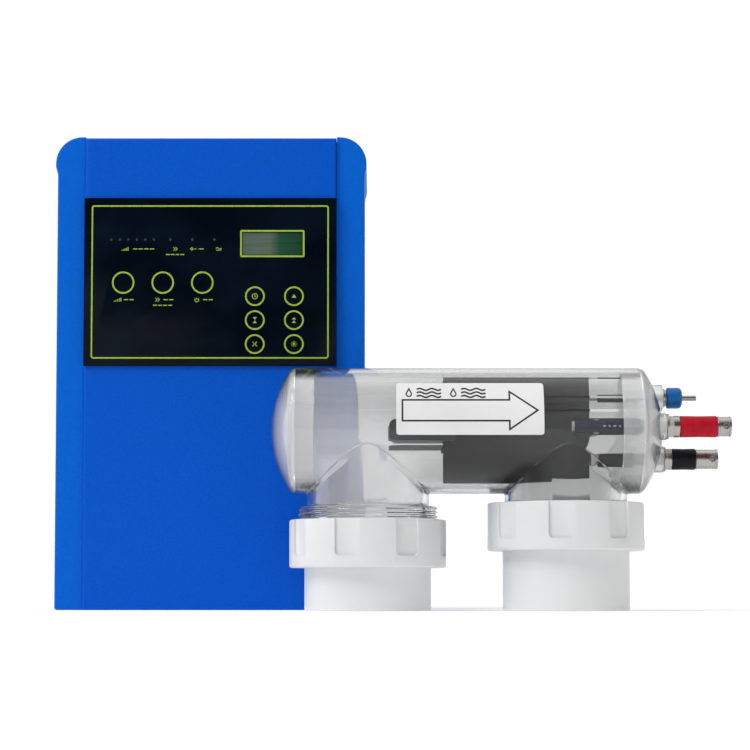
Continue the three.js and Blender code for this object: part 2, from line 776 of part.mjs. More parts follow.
/** A terminal stud out through the cap, with the bus bar that joins its plates. */
function powerStud({ y, z, shrink }, end, plates) {
  const shaft = at(alongX(rod(studRadius, Math.min(shrink.start - 2, busStart), end)), 0, y, z);
  const ys = plates.map(plateY);
  const bar = block(
    busStart,
    busStart + bus.thickness,
    Math.min(y, ...ys) - plate.thickness,
    Math.max(y, ...ys) + plate.thickness,
    z - bus.height / 2,
    z + bus.height / 2,
  );
  return onAxis(join(shaft, bar));
}

/** Sleeving on a stud, inside the cell. */
function sheathOn({ y, z, radius, shrink }, wall) {
  const inner = radius + studFit;
  return at(alongX(tube(inner + wall, inner, shrink.start, shrink.end)), 0, y, z);
}

/** The anode's sleeving, notched where its bus bar leaves it. */
function anodeShrink() {
  const { y, z } = studs.anode;
  const notch = block(
    busStart - seat,
    busStart + bus.thickness + seat,
    y - studRadius - studFit,
    y + shrinkRadius + 1,
    z - bus.height / 2 - seat,
    z + bus.height / 2 + seat,
  );
  return onAxis(cut(sheathOn(studs.anode, shrinkWall), notch));
}

function electrodes() {
  const all = range(plate.count);
  const polarity = (i) => (isAnode(i) ? "anode" : "cathode");
  const group = new THREE.Group();
  for (const i of all) group.add(mesh(`${polarity(i)}_plate_${i + 1}`, electrode(i), coatedTitanium));
  const { anode, cathode, sensor } = studs;
  const anodeBar = powerStud(anode, spans.anode.nut.end + studReach, all.filter(isAnode));
  const cathodeBar = powerStud(
    cathode,
    spans.cathode.nut.end + studReach,
    all.filter((i) => !isAnode(i)),
  );
  const pin = at(alongX(rod(sensorRod.radius, sensor.shrink.start - 6, spans.pinEnd)), 0, sensor.y, sensor.z);
  group.add(
    mesh("plate_comb", plateComb(), blackPlastic),
    mesh("anode_stud", anodeBar, titanium),
    mesh("cathode_stud", cathodeBar, titanium),
    mesh("sensor_pin", onAxis(pin), titanium),
    mesh("anode_shrink", anodeShrink(), shrinkBlue),
    mesh("cathode_shrink", onAxis(sheathOn(cathode, shrinkWall)), blackSleeve),
    mesh("sensor_shrink", onAxis(sheathOn(sensor, sensorRod.sheath)), blackSleeve),
  );
  return group;
}

// ---------------------------------------------------------------- terminals

/** Where each piece on a stud starts and ends, one after the other from the cap's boss. */
function terminalSpans() {
  const start = bossEnd + seat;
  const row = ({ nut, sleeve: cover, collar: ring }) => {
    const nutSpan = { start, end: start + nut };
    const sleeveSpan = { start: nutSpan.end + seat, end: nutSpan.end + seat + cover };
    const ringSpan = { start: sleeveSpan.end + seat, end: sleeveSpan.end + seat + ring };
    return { nut: nutSpan, sleeve: sleeveSpan, collar: ringSpan };
  };
  const sensorNut = { start, end: start + sensorEnd.nut };
  const sensorCap = { start: sensorNut.end + seat, end: sensorNut.end + seat + sensorEnd.cap };
  return {
    anode: row(powerEnds.anode),
    cathode: row(powerEnds.cathode),
    sensor: { nut: sensorNut, cap: sensorCap },
    pinEnd: sensorCap.end + sensorEnd.pin,
  };
}

const spans = terminalSpans();

/** A washer and two terminal nuts, one hexagon and one round, drawn up as one round a stud. */
function terminalNuts(stud, radius, { start, end }) {
  const middle = (start + end + terminalNut.washer) / 2;
  const washer = rod(radius, start, start + terminalNut.washer);
  const hexagon = rod(0.88 * radius, start + terminalNut.washer / 2, middle, 6);
  const round = rod(0.94 * radius, middle - terminalNut.washer / 4, end);
  const bore = rod(stud.radius + studFit, start - 1, end + 1);
  return onAxis(at(alongX(cut(join(washer, hexagon, round), bore)), 0, stud.y, stud.z));
}

const shellRadius = collar.radius - collar.wall - collar.fit;

/** The body of a bayonet connector: screwed on its stud behind, hollow round a contact pin in front. */
function connector(stud, start, end) {
  const hollow = shellRadius - socketBore.wall;
  const body = rod(shellRadius, start, end);
  const mouth = tube(hollow, socketBore.pin, end - socketBore.depth, end + 1);
  const tip = rod(hollow - 1, end - socketBore.pinInset, end + 1);
  const thread = rod(studRadius + studFit, start - 1, start + studReach);
  return onAxis(at(alongX(cut(body, mouth, tip, thread)), 0, stud.y, stud.z));
}

/** The bayonet collar that turns on a connector, with its two lug holes. */
function bayonetCollar(stud, { start, end }) {
  const ring = tube(collar.radius, collar.radius - collar.wall, start, end, 20);
  const lugs = at(
    alongY(rod(collar.lug, -collar.radius - 1, collar.radius + 1, 8)),
    0,
    0,
    end - collar.lugInset,
  );
  return onAxis(at(alongX(cut(ring, lugs)), 0, stud.y, stud.z));
}

/** The cap that insulates the sensor's terminal. */
function sensorCap() {
  const { start, end } = spans.sensor.cap;
  const { capRadius: radius, round } = sensorEnd;
  const whole = turned([
    [0, start],
    [radius, start],
    [radius, end - round],
    [radius - round, end],
    [0, end],
  ], smallSteps);
  const bore = rod(sensorRod.radius + studFit, start - 1, end + 1, 12);
  return onAxis(at(alongX(cut(whole, bore)), 0, studs.sensor.y, studs.sensor.z));
}

function terminals() {
  const group = new THREE.Group();
  const sleeveBore = shellRadius + sleeve.fit;
  for (const [name, sleeveColour] of [["anode", redSleeve], ["cathode", blackSleeve]]) {
    const stud = studs[name];
    const span = spans[name];
    const cover = alongX(tube(sleeve.radius, sleeveBore, span.sleeve.start, span.sleeve.end, 16));
    group.add(
      mesh(name + "_nut", terminalNuts(stud, terminalNut.radius, span.nut), nickel),
      mesh(name + "_connector", connector(stud, span.sleeve.start, span.collar.end), nickel),
      mesh(name + "_sleeve", onAxis(at(cover, 0, stud.y, stud.z)), sleeveColour),
      mesh(name + "_collar", bayonetCollar(stud, span.collar), nickel),
    );
  }
  group.add(
    mesh("sensor_nut", terminalNuts(studs.sensor, sensorEnd.nutRadius, spans.sensor.nut), nickel),
    mesh("sensor_cap", sensorCap(), blueCap),
  );
  return group;
}

/** The sticker that shows which way the water flows: a thin patch of a cylinder. */
function flowLabel() {
  const inner = tubeRadius + label.gap;
  const [from, to] = [label.from, label.to].map(THREE.MathUtils.degToRad);
  const shape = new THREE.Shape();
  shape.absarc(0, 0, inner + label.thickness, from, to, false);
  shape.absarc(0, 0, inner, to, from, true);
  const geometry = new THREE.ExtrudeGeometry(shape, {
    depth: label.width,
    bevelEnabled: false,
    curveSegments: 14,
  });
  // The drawing's x becomes -Y, its y becomes Z, and its thickness runs towards -X.
  geometry.rotateX(Math.PI / 2).rotateZ(-Math.PI / 2);
  return onAxis(geometry.translate(label.width / 2 + label.shift, 0, 0));
}

// ---------------------------------------------------------------- unions

/** A union nut: fluted outside, clear of the collar's thread inside, with a lip round the tail. */
function unionNut(bottom, phase) {
  const chamfer = 1;
  const lipBore = tailRadius + nutFit;
  const whole = turned([
    [lipBore, bottom],
    [nutRadius - chamfer, bottom],
    [nutRadius, bottom + chamfer],
    [nutRadius, bottom + nutHeight - chamfer],
    [nutRadius - chamfer, bottom + nutHeight],
    [nutBore, bottom + nutHeight],
    [nutBore, bottom + nutLip],
    [lipBore, bottom + nutLip],
  ], 40);
  const half = flute.width / 2;
  const { rise, corner, depth } = flute;
  const shape = new THREE.Shape();
  shape.moveTo(-half, nutHeight + 1);
  shape.lineTo(-half, rise + corner);
  shape.quadraticCurveTo(-half, rise, -half + corner, rise);
  shape.lineTo(half - corner, rise);
  shape.quadraticCurveTo(half, rise, half, rise + corner);
  shape.lineTo(half, nutHeight + 1);
  const flutes = range(fluteCount).map((i) => {
    const turn = THREE.MathUtils.degToRad(phase + (i * 360) / fluteCount);
    return slab(shape, -nutRadius - 1, -nutRadius + depth, 2).rotateZ(turn).translate(0, 0, bottom);
  });
  return cut(whole, ...flutes);
}

/** A tail piece: flange with its ring groove under the collar, barrel, and the socket for the pipe. */
function unionTail() {
  const middle = tailRadius - oRing.inset + flange.lip;
  const grooveHalf = oRing.section + 0.2;
  const grooveFloor = tailTop - 2 * oRing.section + oRing.squeeze;
  const stop = pipeRadius - pipeStop;
  return turned([
    [pipeRadius, 0],
    [tailRadius - 0.8, 0],
    [tailRadius, 0.8],
    [tailRadius, flangeBottom],
    [tailRadius + flange.lip, flangeBottom],
    [tailRadius + flange.lip, tailTop],
    [middle + grooveHalf, tailTop],
    [middle + grooveHalf, grooveFloor],
    [middle - grooveHalf, grooveFloor],
    [middle - grooveHalf, tailTop],
    [stop, tailTop],
    [stop, socketDepth],
    [pipeRadius, socketDepth],
  ]);
}

/** The sealing ring in a tail's groove, just short of the collar. */
function sealRing() {
  const middle = tailRadius - oRing.inset + flange.lip;
  const floor = tailTop - 2 * oRing.section + oRing.squeeze + seat / 3;
  const half = (collarEnd - seat / 3 - floor) / 2;
  return turned(
    range(6).map((i) => {
      const a = ((i + 0.5) * Math.PI) / 3;
      return [middle + oRing.section * Math.cos(a), floor + half + half * Math.sin(a)];
    }),
  );
}

/** The slip ring that a nut bears on as it draws the tail up. */
function thrustRing(bottom) {
  const low = bottom + nutLip + seat;
  return tube(tailRadius + slipRing.lip, tailRadius + nutFit, low, low + slipRing.thickness, roundSteps);
}

function union(name, side, drop, phase) {
  const bottom = nutBottom - drop;
  const group = new THREE.Group();
  group.add(
    mesh(name + "_nut", unionNut(bottom, phase), whitePvc),
    mesh(name + "_tail", unionTail(), whitePvc),
    mesh(name + "_o_ring", sealRing(), rubber),
    mesh(name + "_slip_ring", thrustRing(bottom), whitePvc),
  );
  group.position.x = side * portOffset;
  return group;
}

function cell() {
  const group = new THREE.Group();
  group.add(
    mesh("cell_body", cellBody(), clearAcrylic),
    mesh("left_end_cap", onAxis(endCap().rotateZ(Math.PI)), clearAcrylic),
    mesh("right_end_cap", onAxis(drilledCap()), clearAcrylic),
    mesh("flow_label", flowLabel(), labelWhite),
    electrodes(),
    terminals(),
    union("inlet", -1, inletDrop, inletPhase),
    union("outlet", 1, 0, outletPhase),
  );
  return group;
}

// ---------------------------------------------------------------- the whole object

const generator = new THREE.Group();
const chlorinator = cell();
chlorinator.position.set(cellBeside, panelFace - cellAhead - nutRadius, 0);
generator.add(controlBox(), chlorinator);

// The origin is the middle of the footprint, on the surface that everything stands on.
const extent = new THREE.Box3().setFromObject(generator);
const middle = extent.getCenter(new THREE.Vector3());
generator.position.set(-middle.x, -middle.y, -extent.min.z);

export default generator;
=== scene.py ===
"""Salt chlorine generator: a folded steel control box, and the clear electrolysis cell beside it.

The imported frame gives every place. Sizes are in metres, +Z is up and the fronts face -Y.
"""

import logging
import math
from collections.abc import Callable, Iterator, Sequence
from contextlib import contextmanager
from dataclasses import dataclass
from enum import Enum

import bmesh
import bpy
from bpy.types import Material, Node, NodeSocket, Object
from mathutils import Matrix, Vector


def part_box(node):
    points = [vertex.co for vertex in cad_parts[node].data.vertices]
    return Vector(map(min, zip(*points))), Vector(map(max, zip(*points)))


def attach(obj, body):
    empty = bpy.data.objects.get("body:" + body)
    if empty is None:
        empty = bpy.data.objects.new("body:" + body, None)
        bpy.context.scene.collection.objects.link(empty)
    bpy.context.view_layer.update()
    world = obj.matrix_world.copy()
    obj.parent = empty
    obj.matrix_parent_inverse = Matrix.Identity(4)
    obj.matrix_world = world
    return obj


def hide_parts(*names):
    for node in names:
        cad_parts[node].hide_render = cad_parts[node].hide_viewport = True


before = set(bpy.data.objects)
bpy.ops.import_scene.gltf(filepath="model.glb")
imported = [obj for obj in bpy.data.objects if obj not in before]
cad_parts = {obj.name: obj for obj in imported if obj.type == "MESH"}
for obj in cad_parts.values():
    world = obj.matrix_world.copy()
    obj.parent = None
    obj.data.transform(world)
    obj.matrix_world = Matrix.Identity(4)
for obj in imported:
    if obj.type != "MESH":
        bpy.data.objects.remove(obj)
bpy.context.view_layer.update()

Point = tuple[float, float]
Corner = tuple[float, float, float]
Color = tuple[float, float, float]

log = logging.getLogger("generator")
MERGED = 2e-6  # points closer than this are one
OVERSHOOT = 0.001  # how far a cutter reaches past what it cuts
GAP = 0.0003  # clearance between pieces that rest on each other


# ---------------------------------------------------------------- modelling tools


class Axis(Enum):
    """A line that a piece is turned about."""

    X = (1.0, 0.0, 0.0)
    Y = (0.0, 1.0, 0.0)
    Z = (0.0, 0.0, 1.0)

    def place(self, out: float, along: float) -> Vector:
        """Gives the point of a half section at a distance from the axis and a place along it."""
        if self is Axis.Z:
            return Vector((out, 0.0, along))
        if self is Axis.X:
            return Vector((along, 0.0, out))
        return Vector((out, along, 0.0))


class Blend(Enum):
    """What one solid does to another."""

    JOIN = "UNION"
    CUT = "DIFFERENCE"
    KEEP = "INTERSECT"


class Part(Enum):
    """What is selected in edit mode: the mesh's list and the matching select mode."""

    EDGES = ("edges", "EDGE")
    FACES = ("faces", "FACE")


@dataclass(frozen=True)
class Extent:
    """The box of a CAD node."""

    low: Vector
    high: Vector

    @classmethod
    def of(cls, node: str) -> "Extent":
        """Reads a node's box from the frame."""
        return cls(*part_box(node))

    @property
    def middle(self) -> Vector:
        """The box's centre."""
        return (self.low + self.high) / 2

    @property
    def size(self) -> Vector:
        """The box's sides."""
        return self.high - self.low


def activate(piece: Object) -> None:
    """Selects one piece alone and makes it the active one."""
    bpy.ops.object.select_all(action="DESELECT")
    piece.select_set(True)
    bpy.context.view_layer.objects.active = piece


@contextmanager
def editing(piece: Object) -> Iterator[None]:
    """Opens a piece in edit mode with nothing selected, and closes it again."""
    activate(piece)
    bpy.ops.object.mode_set(mode="EDIT")
    bpy.ops.mesh.select_all(action="DESELECT")
    yield
    bpy.ops.object.mode_set(mode="OBJECT")


def choose(piece: Object, part: Part, test: Callable[[bmesh.types.BMElemSeq], bool]) -> None:
    """Selects the edges or faces of the piece in edit mode that pass a test.

    Args:
        piece: the piece that is open in edit mode.
        part: whether edges or faces are tested.
        test: says whether one of them is selected.
    """
    bpy.ops.mesh.select_mode(type=part.value[1])
    bpy.ops.mesh.select_all(action="DESELECT")
    shape = bmesh.from_edit_mesh(piece.data)
    for element in getattr(shape, part.value[0]):
        if test(element):
            element.select_set(True)
    bmesh.update_edit_mesh(piece.data)


def close_up(piece: Object) -> None:
    """Merges doubled points, drops loose edges and turns the faces outwards."""
    with editing(piece):
        bpy.ops.mesh.select_all(action="SELECT")
        bpy.ops.mesh.remove_doubles(threshold=MERGED)
        bpy.ops.mesh.delete_loose()
        bpy.ops.mesh.select_all(action="SELECT")
        bpy.ops.mesh.normals_make_consistent(inside=False)


def outline(name: str, places: Sequence[Vector], filled: bool = False) -> Object:
    """Makes a closed loop from a circle whose points are moved into place.

    Args:
        name: the piece's name.
        places: the loop's points, in order.
        filled: whether the loop holds a face.

    Returns:
        The new piece.
    """
    fill = "NGON" if filled else "NOTHING"
    bpy.ops.mesh.primitive_circle_add(vertices=len(places), fill_type=fill)
    piece = bpy.context.active_object
    piece.name = name
    for vertex, place in zip(piece.data.vertices, places):
        vertex.co = place
    return piece


def turned(name: str, section: Sequence[Point], axis: Axis, centre: Vector, steps: int = 64) -> Object:
    """Spins a closed half section all the way round.

    Args:
        name: the piece's name.
        section: distance from the axis and place along it, for each point.
        axis: the direction of the axis.
        centre: a point of the axis, from which places along it are counted.
        steps: facets of a full turn.

    Returns:
        The turned piece.
    """
    piece = outline(name, [centre + axis.place(out, along) for out, along in section])
    with editing(piece):
        bpy.ops.mesh.select_all(action="SELECT")
        bpy.ops.mesh.spin(steps=steps, angle=math.tau, center=centre, axis=axis.value)
    close_up(piece)
    return piece


def pushed(name: str, places: Sequence[Vector], push: Vector) -> Object:
    """Extrudes a flat outline into a solid.

    Args:
        name: the piece's name.
        places: the outline's points, in order.
        push: how far and which way it is extruded.

    Returns:
        The solid.
    """
    piece = outline(name, places, filled=True)
    with editing(piece):
        bpy.ops.mesh.select_all(action="SELECT")
        bpy.ops.mesh.extrude_region_move(TRANSFORM_OT_translate={"value": push})
    close_up(piece)
    return piece


def block(name: str, low: Sequence[float], high: Sequence[float]) -> Object:
    """Makes a box between two corners, with its place in its mesh."""
    first, last = Vector(low), Vector(high)
    bpy.ops.mesh.primitive_cube_add(size=1, location=(first + last) / 2, scale=last - first)
    piece = bpy.context.active_object
    piece.name = name
    activate(piece)
    bpy.ops.object.transform_apply(location=True, rotation=True, scale=True)
    return piece


def finish_modifier(piece: Object, kind: str, **settings: object) -> None:
    """Adds a modifier with some settings and applies it."""
    activate(piece)
    modifier = piece.modifiers.new(kind.lower(), kind)
    for name, value in settings.items():
        setattr(modifier, name, value)
    bpy.ops.object.modifier_apply(modifier=modifier.name)


def combine(piece: Object, how: Blend, *others: Object) -> Object:
    """Joins other solids to a piece, or cuts them out of it, and removes them.

    Args:
        piece: the piece that is changed.
        how: what the others do to it.
        others: the other solids.

    Returns:
        The changed piece.
    """
    for other in others:
        finish_modifier(piece, "BOOLEAN", object=other, operation=how.value, solver="EXACT")
        bpy.data.objects.remove(other)
    return piece


def gathered(name: str, pieces: Sequence[Object]) -> Object:
    """Makes one object of several, as they are."""
    activate(pieces[0])
    for piece in pieces:
        piece.select_set(True)
    if len(pieces) > 1:
        bpy.ops.object.join()
    pieces[0].name = name
    return pieces[0]


def eased(piece: Object, width: float, steps: int = 2, above: float = 35.0) -> Object:
    """Rounds every edge that is sharper than an angle, in degrees."""
    finish_modifier(
        piece,
        "BEVEL",
        width=width,
        segments=steps,
        limit_method="ANGLE",
        angle_limit=math.radians(above),
        use_clamp_overlap=True,
    )
    return piece


def copied(piece: Object, name: str, move: Matrix) -> Object:
    """Copies a piece with a mesh of its own, moved in that mesh; a mirrored one is turned outwards again."""
    twin = piece.copy()
    twin.data = piece.data.copy()
    twin.name = name
    bpy.context.scene.collection.objects.link(twin)
    twin.data.transform(move)
    if move.determinant() < 0:
        twin.data.flip_normals()
    return twin


def softened(corners: Sequence[Corner], steps: int = 4) -> list[Point]:
    """Rounds the corners of a closed outline.

    Args:
        corners: the two coordinates and the radius of each corner, in order.
        steps: facets of each rounded corner.

    Returns:
        The outline's points.
    """
    points = []
    for i, (x, y, radius) in enumerate(corners):
        if radius <= 0:
            points.append((x, y))
            continue
        corner = Vector((x, y))
        back = (Vector(corners[i - 1][:2]) - corner).normalized()
        ahead = (Vector(corners[(i + 1) % len(corners)][:2]) - corner).normalized()
        half = back.angle(ahead) / 2
        centre = corner + (back + ahead).normalized() * (radius / math.sin(half))
        first = corner + back * (radius / math.tan(half)) - centre
        last = corner + ahead * (radius / math.tan(half)) - centre
        start = math.atan2(first.y, first.x)
        sweep = (math.atan2(last.y, last.x) - start + math.pi) % math.tau - math.pi
        for k in range(steps + 1):
            angle = start + sweep * k / steps
            points.append((centre.x + radius * math.cos(angle), centre.y + radius * math.sin(angle)))
    return points


def arc(centre: Point, radius: float, start: float, end: float, steps: int) -> list[Point]:
    """Gives points along an arc between two angles in degrees."""
    angles = [math.radians(start + (end - start) * k / steps) for k in range(steps + 1)]
    return [(centre[0] + radius * math.cos(a), centre[1] + radius * math.sin(a)) for a in angles]


def rectangle(x: float, y: float, width: float, height: float, corner: float = 0.0) -> list[Point]:
    """Gives the outline of a rectangle with round corners, about its middle."""
    sides = ((-1, -1), (1, -1), (1, 1), (-1, 1))
    return softened([(x + a * width / 2, y + b * height / 2, corner) for a, b in sides])


def upright(points: Sequence[Point], y: float) -> list[Vector]:
    """Stands a flat outline up, so that it faces -Y at a place along Y."""
    return [Vector((x, y, z)) for x, z in points]


# ---------------------------------------------------------------- finishes


class Sheet:
    """One material's nodes, around its shader."""

    def __init__(self, name: str) -> None:
        """Starts a material with one shader."""
        self.material = bpy.data.materials.new(name)
        self.material.use_nodes = True
        self.tree = self.material.node_tree
        self.shader = self.tree.nodes["Principled BSDF"]
        self.output = self.tree.nodes["Material Output"]

    def add(self, kind: str, **inputs: object) -> Node:
        """Adds a node with values for its inputs, named with _ for spaces."""
        node = self.tree.nodes.new(kind)
        for name, value in inputs.items():
            node.inputs[name.replace("_", " ")].default_value = value
        return node

    def link(self, source: NodeSocket, target: NodeSocket) -> None:
        """Joins two sockets."""
        self.tree.links.new(source, target)

    def fix(self, **values: object) -> None:
        """Sets sockets of the shader, named with _ for spaces, that are the same all over."""
        for name, value in values.items():
            self.shader.inputs[name.replace("_", " ")].default_value = value

    def place(self, stretch: Sequence[float] = (1, 1, 1), offset: Sequence[float] = (0, 0, 0)) -> NodeSocket:
        """Gives the piece's own coordinates, stretched and moved."""
        source = self.add("ShaderNodeTexCoord")
        mapping = self.add("ShaderNodeMapping", Location=offset, Scale=stretch)
        self.link(source.outputs["Object"], mapping.inputs["Vector"])
        return mapping.outputs["Vector"]

    def noise(self, scale: float, detail: float = 2.0, place: NodeSocket | None = None) -> NodeSocket:
        """Gives a soft random pattern, from 0 to 1."""
        node = self.add("ShaderNodeTexNoise", Scale=scale, Detail=detail)
        self.link(place or self.place(), node.inputs["Vector"])
        return node.outputs["Fac"]

    def spread(self, source: NodeSocket, low: float, high: float, first: float = 0.3, last: float = 0.7) -> NodeSocket:
        """Maps a pattern's middle range onto values from low to high."""
        node = self.add("ShaderNodeMapRange", From_Min=first, From_Max=last, To_Min=low, To_Max=high)
        self.link(source, node.inputs["Value"])
        return node.outputs["Result"]

    def tint(self, source: NodeSocket, *stops: tuple[float, Color]) -> NodeSocket:
        """Colours a pattern by stops, each a place from 0 to 1 and a colour."""
        ramp = self.tree.nodes.new("ShaderNodeValToRGB")
        elements = ramp.color_ramp.elements
        while len(elements) < len(stops):
            elements.new(0.5)
        for element, (place, color) in zip(elements, stops):
            element.position = place
            element.color = (*color, 1.0)
        self.link(source, ramp.inputs["Fac"])
        return ramp.outputs["Color"]

    def bump(self, height: NodeSocket, distance: float, strength: float = 1.0) -> None:
        """Roughens the shader's surface by a pattern, in metres of depth."""
        node = self.add("ShaderNodeBump", Strength=strength, Distance=distance)
        self.link(height, node.inputs["Height"])
        self.link(node.outputs["Normal"], self.shader.inputs["Normal"])


painted: dict[str, Material] = {}  # each finish's material, by its name


def shade(color: Color, share: float) -> Color:
    """Makes a colour lighter or darker by a factor."""
    return tuple(channel * share for channel in color)


@dataclass(frozen=True)
class Finish:
    """A surface finish: its material's name, the record's slot, and its colour."""

    name: str
    slot: str
    color: Color
    roughness: float = 0.4

    def paint(self, sheet: Sheet) -> None:
        """Builds the finish's nodes."""
        raise NotImplementedError

    def material(self) -> Material:
        """Gives the finish's material, which is made once."""
        if self.name not in painted:
            sheet = Sheet(self.name + "_finish")
            self.paint(sheet)
            painted[self.name] = sheet.material
        return painted[self.name]


@dataclass(frozen=True)
class PowderCoat(Finish):
    """Baked powder paint with a fine orange peel."""

    grain: float = 900.0
    depth: float = 0.00012

    def paint(self, sheet: Sheet) -> None:
        """Builds the finish's nodes."""
        cloud = sheet.noise(14.0, 3.0)
        grain = sheet.noise(self.grain, 3.0)
        color = sheet.tint(grain, (0.3, shade(self.color, 0.9)), (0.7, shade(self.color, 1.1)))
        sheet.link(color, sheet.shader.inputs["Base Color"])
        sheet.link(sheet.spread(cloud, self.roughness - 0.05, self.roughness + 0.06), sheet.shader.inputs["Roughness"])
        sheet.fix(Specular_IOR_Level=0.08)
        sheet.bump(grain, self.depth, 0.6)


@dataclass(frozen=True)
class Moulded(Finish):
    """Moulded plastic with a faint unevenness."""

    texture: float = 260.0
    depth: float = 0.00004
    gloss: float = 0.5

    def paint(self, sheet: Sheet) -> None:
        """Builds the finish's nodes."""
        cloud = sheet.noise(30.0, 2.0)
        color = sheet.tint(cloud, (0.3, shade(self.color, 0.97)), (0.7, shade(self.color, 1.02)))
        sheet.link(color, sheet.shader.inputs["Base Color"])
        sheet.link(sheet.spread(cloud, self.roughness - 0.04, self.roughness + 0.04), sheet.shader.inputs["Roughness"])
        sheet.fix(Specular_IOR_Level=self.gloss)
        sheet.bump(sheet.noise(self.texture, 2.0), self.depth, 0.5)


@dataclass(frozen=True)
class Gloss(Finish):
    """A polished dark overlay with faint smears in its roughness, and paler blue clouds in its colour that are a
    painted reflection.
    """

    painted_reflection: Color = (0.003, 0.008, 0.016)

    def paint(self, sheet: Sheet) -> None:
        """Builds the finish's nodes."""
        cloud = sheet.noise(16.0, 2.0, sheet.place((1.0, 1.0, 1.6)))
        # paler blue clouds mixed into the colour: a painted reflection on the gloss
        color = sheet.tint(cloud, (0.42, self.color), (0.75, self.painted_reflection))
        sheet.link(color, sheet.shader.inputs["Base Color"])
        smears = sheet.noise(45.0, 4.0)
        sheet.link(sheet.spread(smears, self.roughness, self.roughness + 0.1), sheet.shader.inputs["Roughness"])
        sheet.fix(Specular_IOR_Level=0.07)


@dataclass(frozen=True)
class Ink(Finish):
    """Screen-printed ink, a little uneven."""

    def paint(self, sheet: Sheet) -> None:
        """Builds the finish's nodes."""
        speck = sheet.noise(500.0, 2.0)
        color = sheet.tint(speck, (0.3, shade(self.color, 0.85)), (0.7, shade(self.color, 1.08)))
        sheet.link(color, sheet.shader.inputs["Base Color"])
        sheet.link(sheet.spread(speck, self.roughness, self.roughness + 0.1), sheet.shader.inputs["Roughness"])


@dataclass(frozen=True)
class Display(Finish):
    """A display's glass: pale on the left, darker green on the right, with faint bands; the paler left is a painted
    reflection of the light from the left.
    """

    left: float = 0.0
    width: float = 0.045
    middle: Color = (0.11, 0.15, 0.11)
    right: Color = (0.013, 0.055, 0.028)

    def paint(self, sheet: Sheet) -> None:
        """Builds the finish's nodes."""
        place = sheet.place((1 / self.width, 1.0, 1.0), (-self.left / self.width, 0.0, 0.0))
        split = sheet.add("ShaderNodeSeparateXYZ")
        sheet.link(place, split.inputs["Vector"])
        # the colour runs from pale on the left to dark green on the right: a painted reflection of the light from the
        # left
        stops = (0.0, self.color), (0.45, self.middle), (0.62, shade(self.right, 1.5)), (1.0, self.right)
        ramp = sheet.tint(split.outputs["X"], *stops)
        bands = sheet.noise(9.0, 2.0, sheet.place((3.0, 1.0, 60.0)))
        mix = sheet.tree.nodes.new("ShaderNodeMix")
        mix.data_type = "RGBA"
        mix.blend_type = "MULTIPLY"
        mix.inputs["Factor"].default_value = 0.6
        sheet.link(ramp, mix.inputs["A"])
        sheet.link(sheet.tint(bands, (0.3, (0.6, 0.6, 0.6)), (0.7, (1.1, 1.1, 1.1))), mix.inputs["B"])
        sheet.link(mix.outputs["Result"], sheet.shader.inputs["Base Color"])
        sheet.fix(Roughness=self.roughness, Specular_IOR_Level=0.35)


@dataclass(frozen=True)
class Metal(Finish):
    """Bare or plated metal with turning marks."""

    marks: tuple[float, float, float] = (60.0, 1.0, 1.0)

    def paint(self, sheet: Sheet) -> None:
        """Builds the finish's nodes."""
        lines = sheet.noise(60.0, 3.0, sheet.place(self.marks))
        color = sheet.tint(lines, (0.3, shade(self.color, 0.82)), (0.7, self.color))
        sheet.link(color, sheet.shader.inputs["Base Color"])
        sheet.link(sheet.spread(lines, self.roughness - 0.06, self.roughness + 0.1), sheet.shader.inputs["Roughness"])
        sheet.fix(Metallic=1.0)
        sheet.bump(lines, 0.00003, 0.4)


@dataclass(frozen=True)
class Coated(Finish):
    """Oxide-coated titanium: matte, dark and slightly cloudy."""

    def paint(self, sheet: Sheet) -> None:
        """Builds the finish's nodes."""
        cloud = sheet.noise(40.0, 4.0, sheet.place((0.35, 1.0, 1.0)))
        fine = sheet.noise(1600.0, 2.0)
        color = sheet.tint(cloud, (0.3, shade(self.color, 0.8)), (0.7, shade(self.color, 1.25)))
        sheet.link(color, sheet.shader.inputs["Base Color"])
        sheet.link(sheet.spread(fine, self.roughness - 0.08, self.roughness + 0.08), sheet.shader.inputs["Roughness"])
        sheet.fix(Metallic=0.1, Specular_IOR_Level=0.15)
        sheet.bump(fine, 0.00005, 0.5)


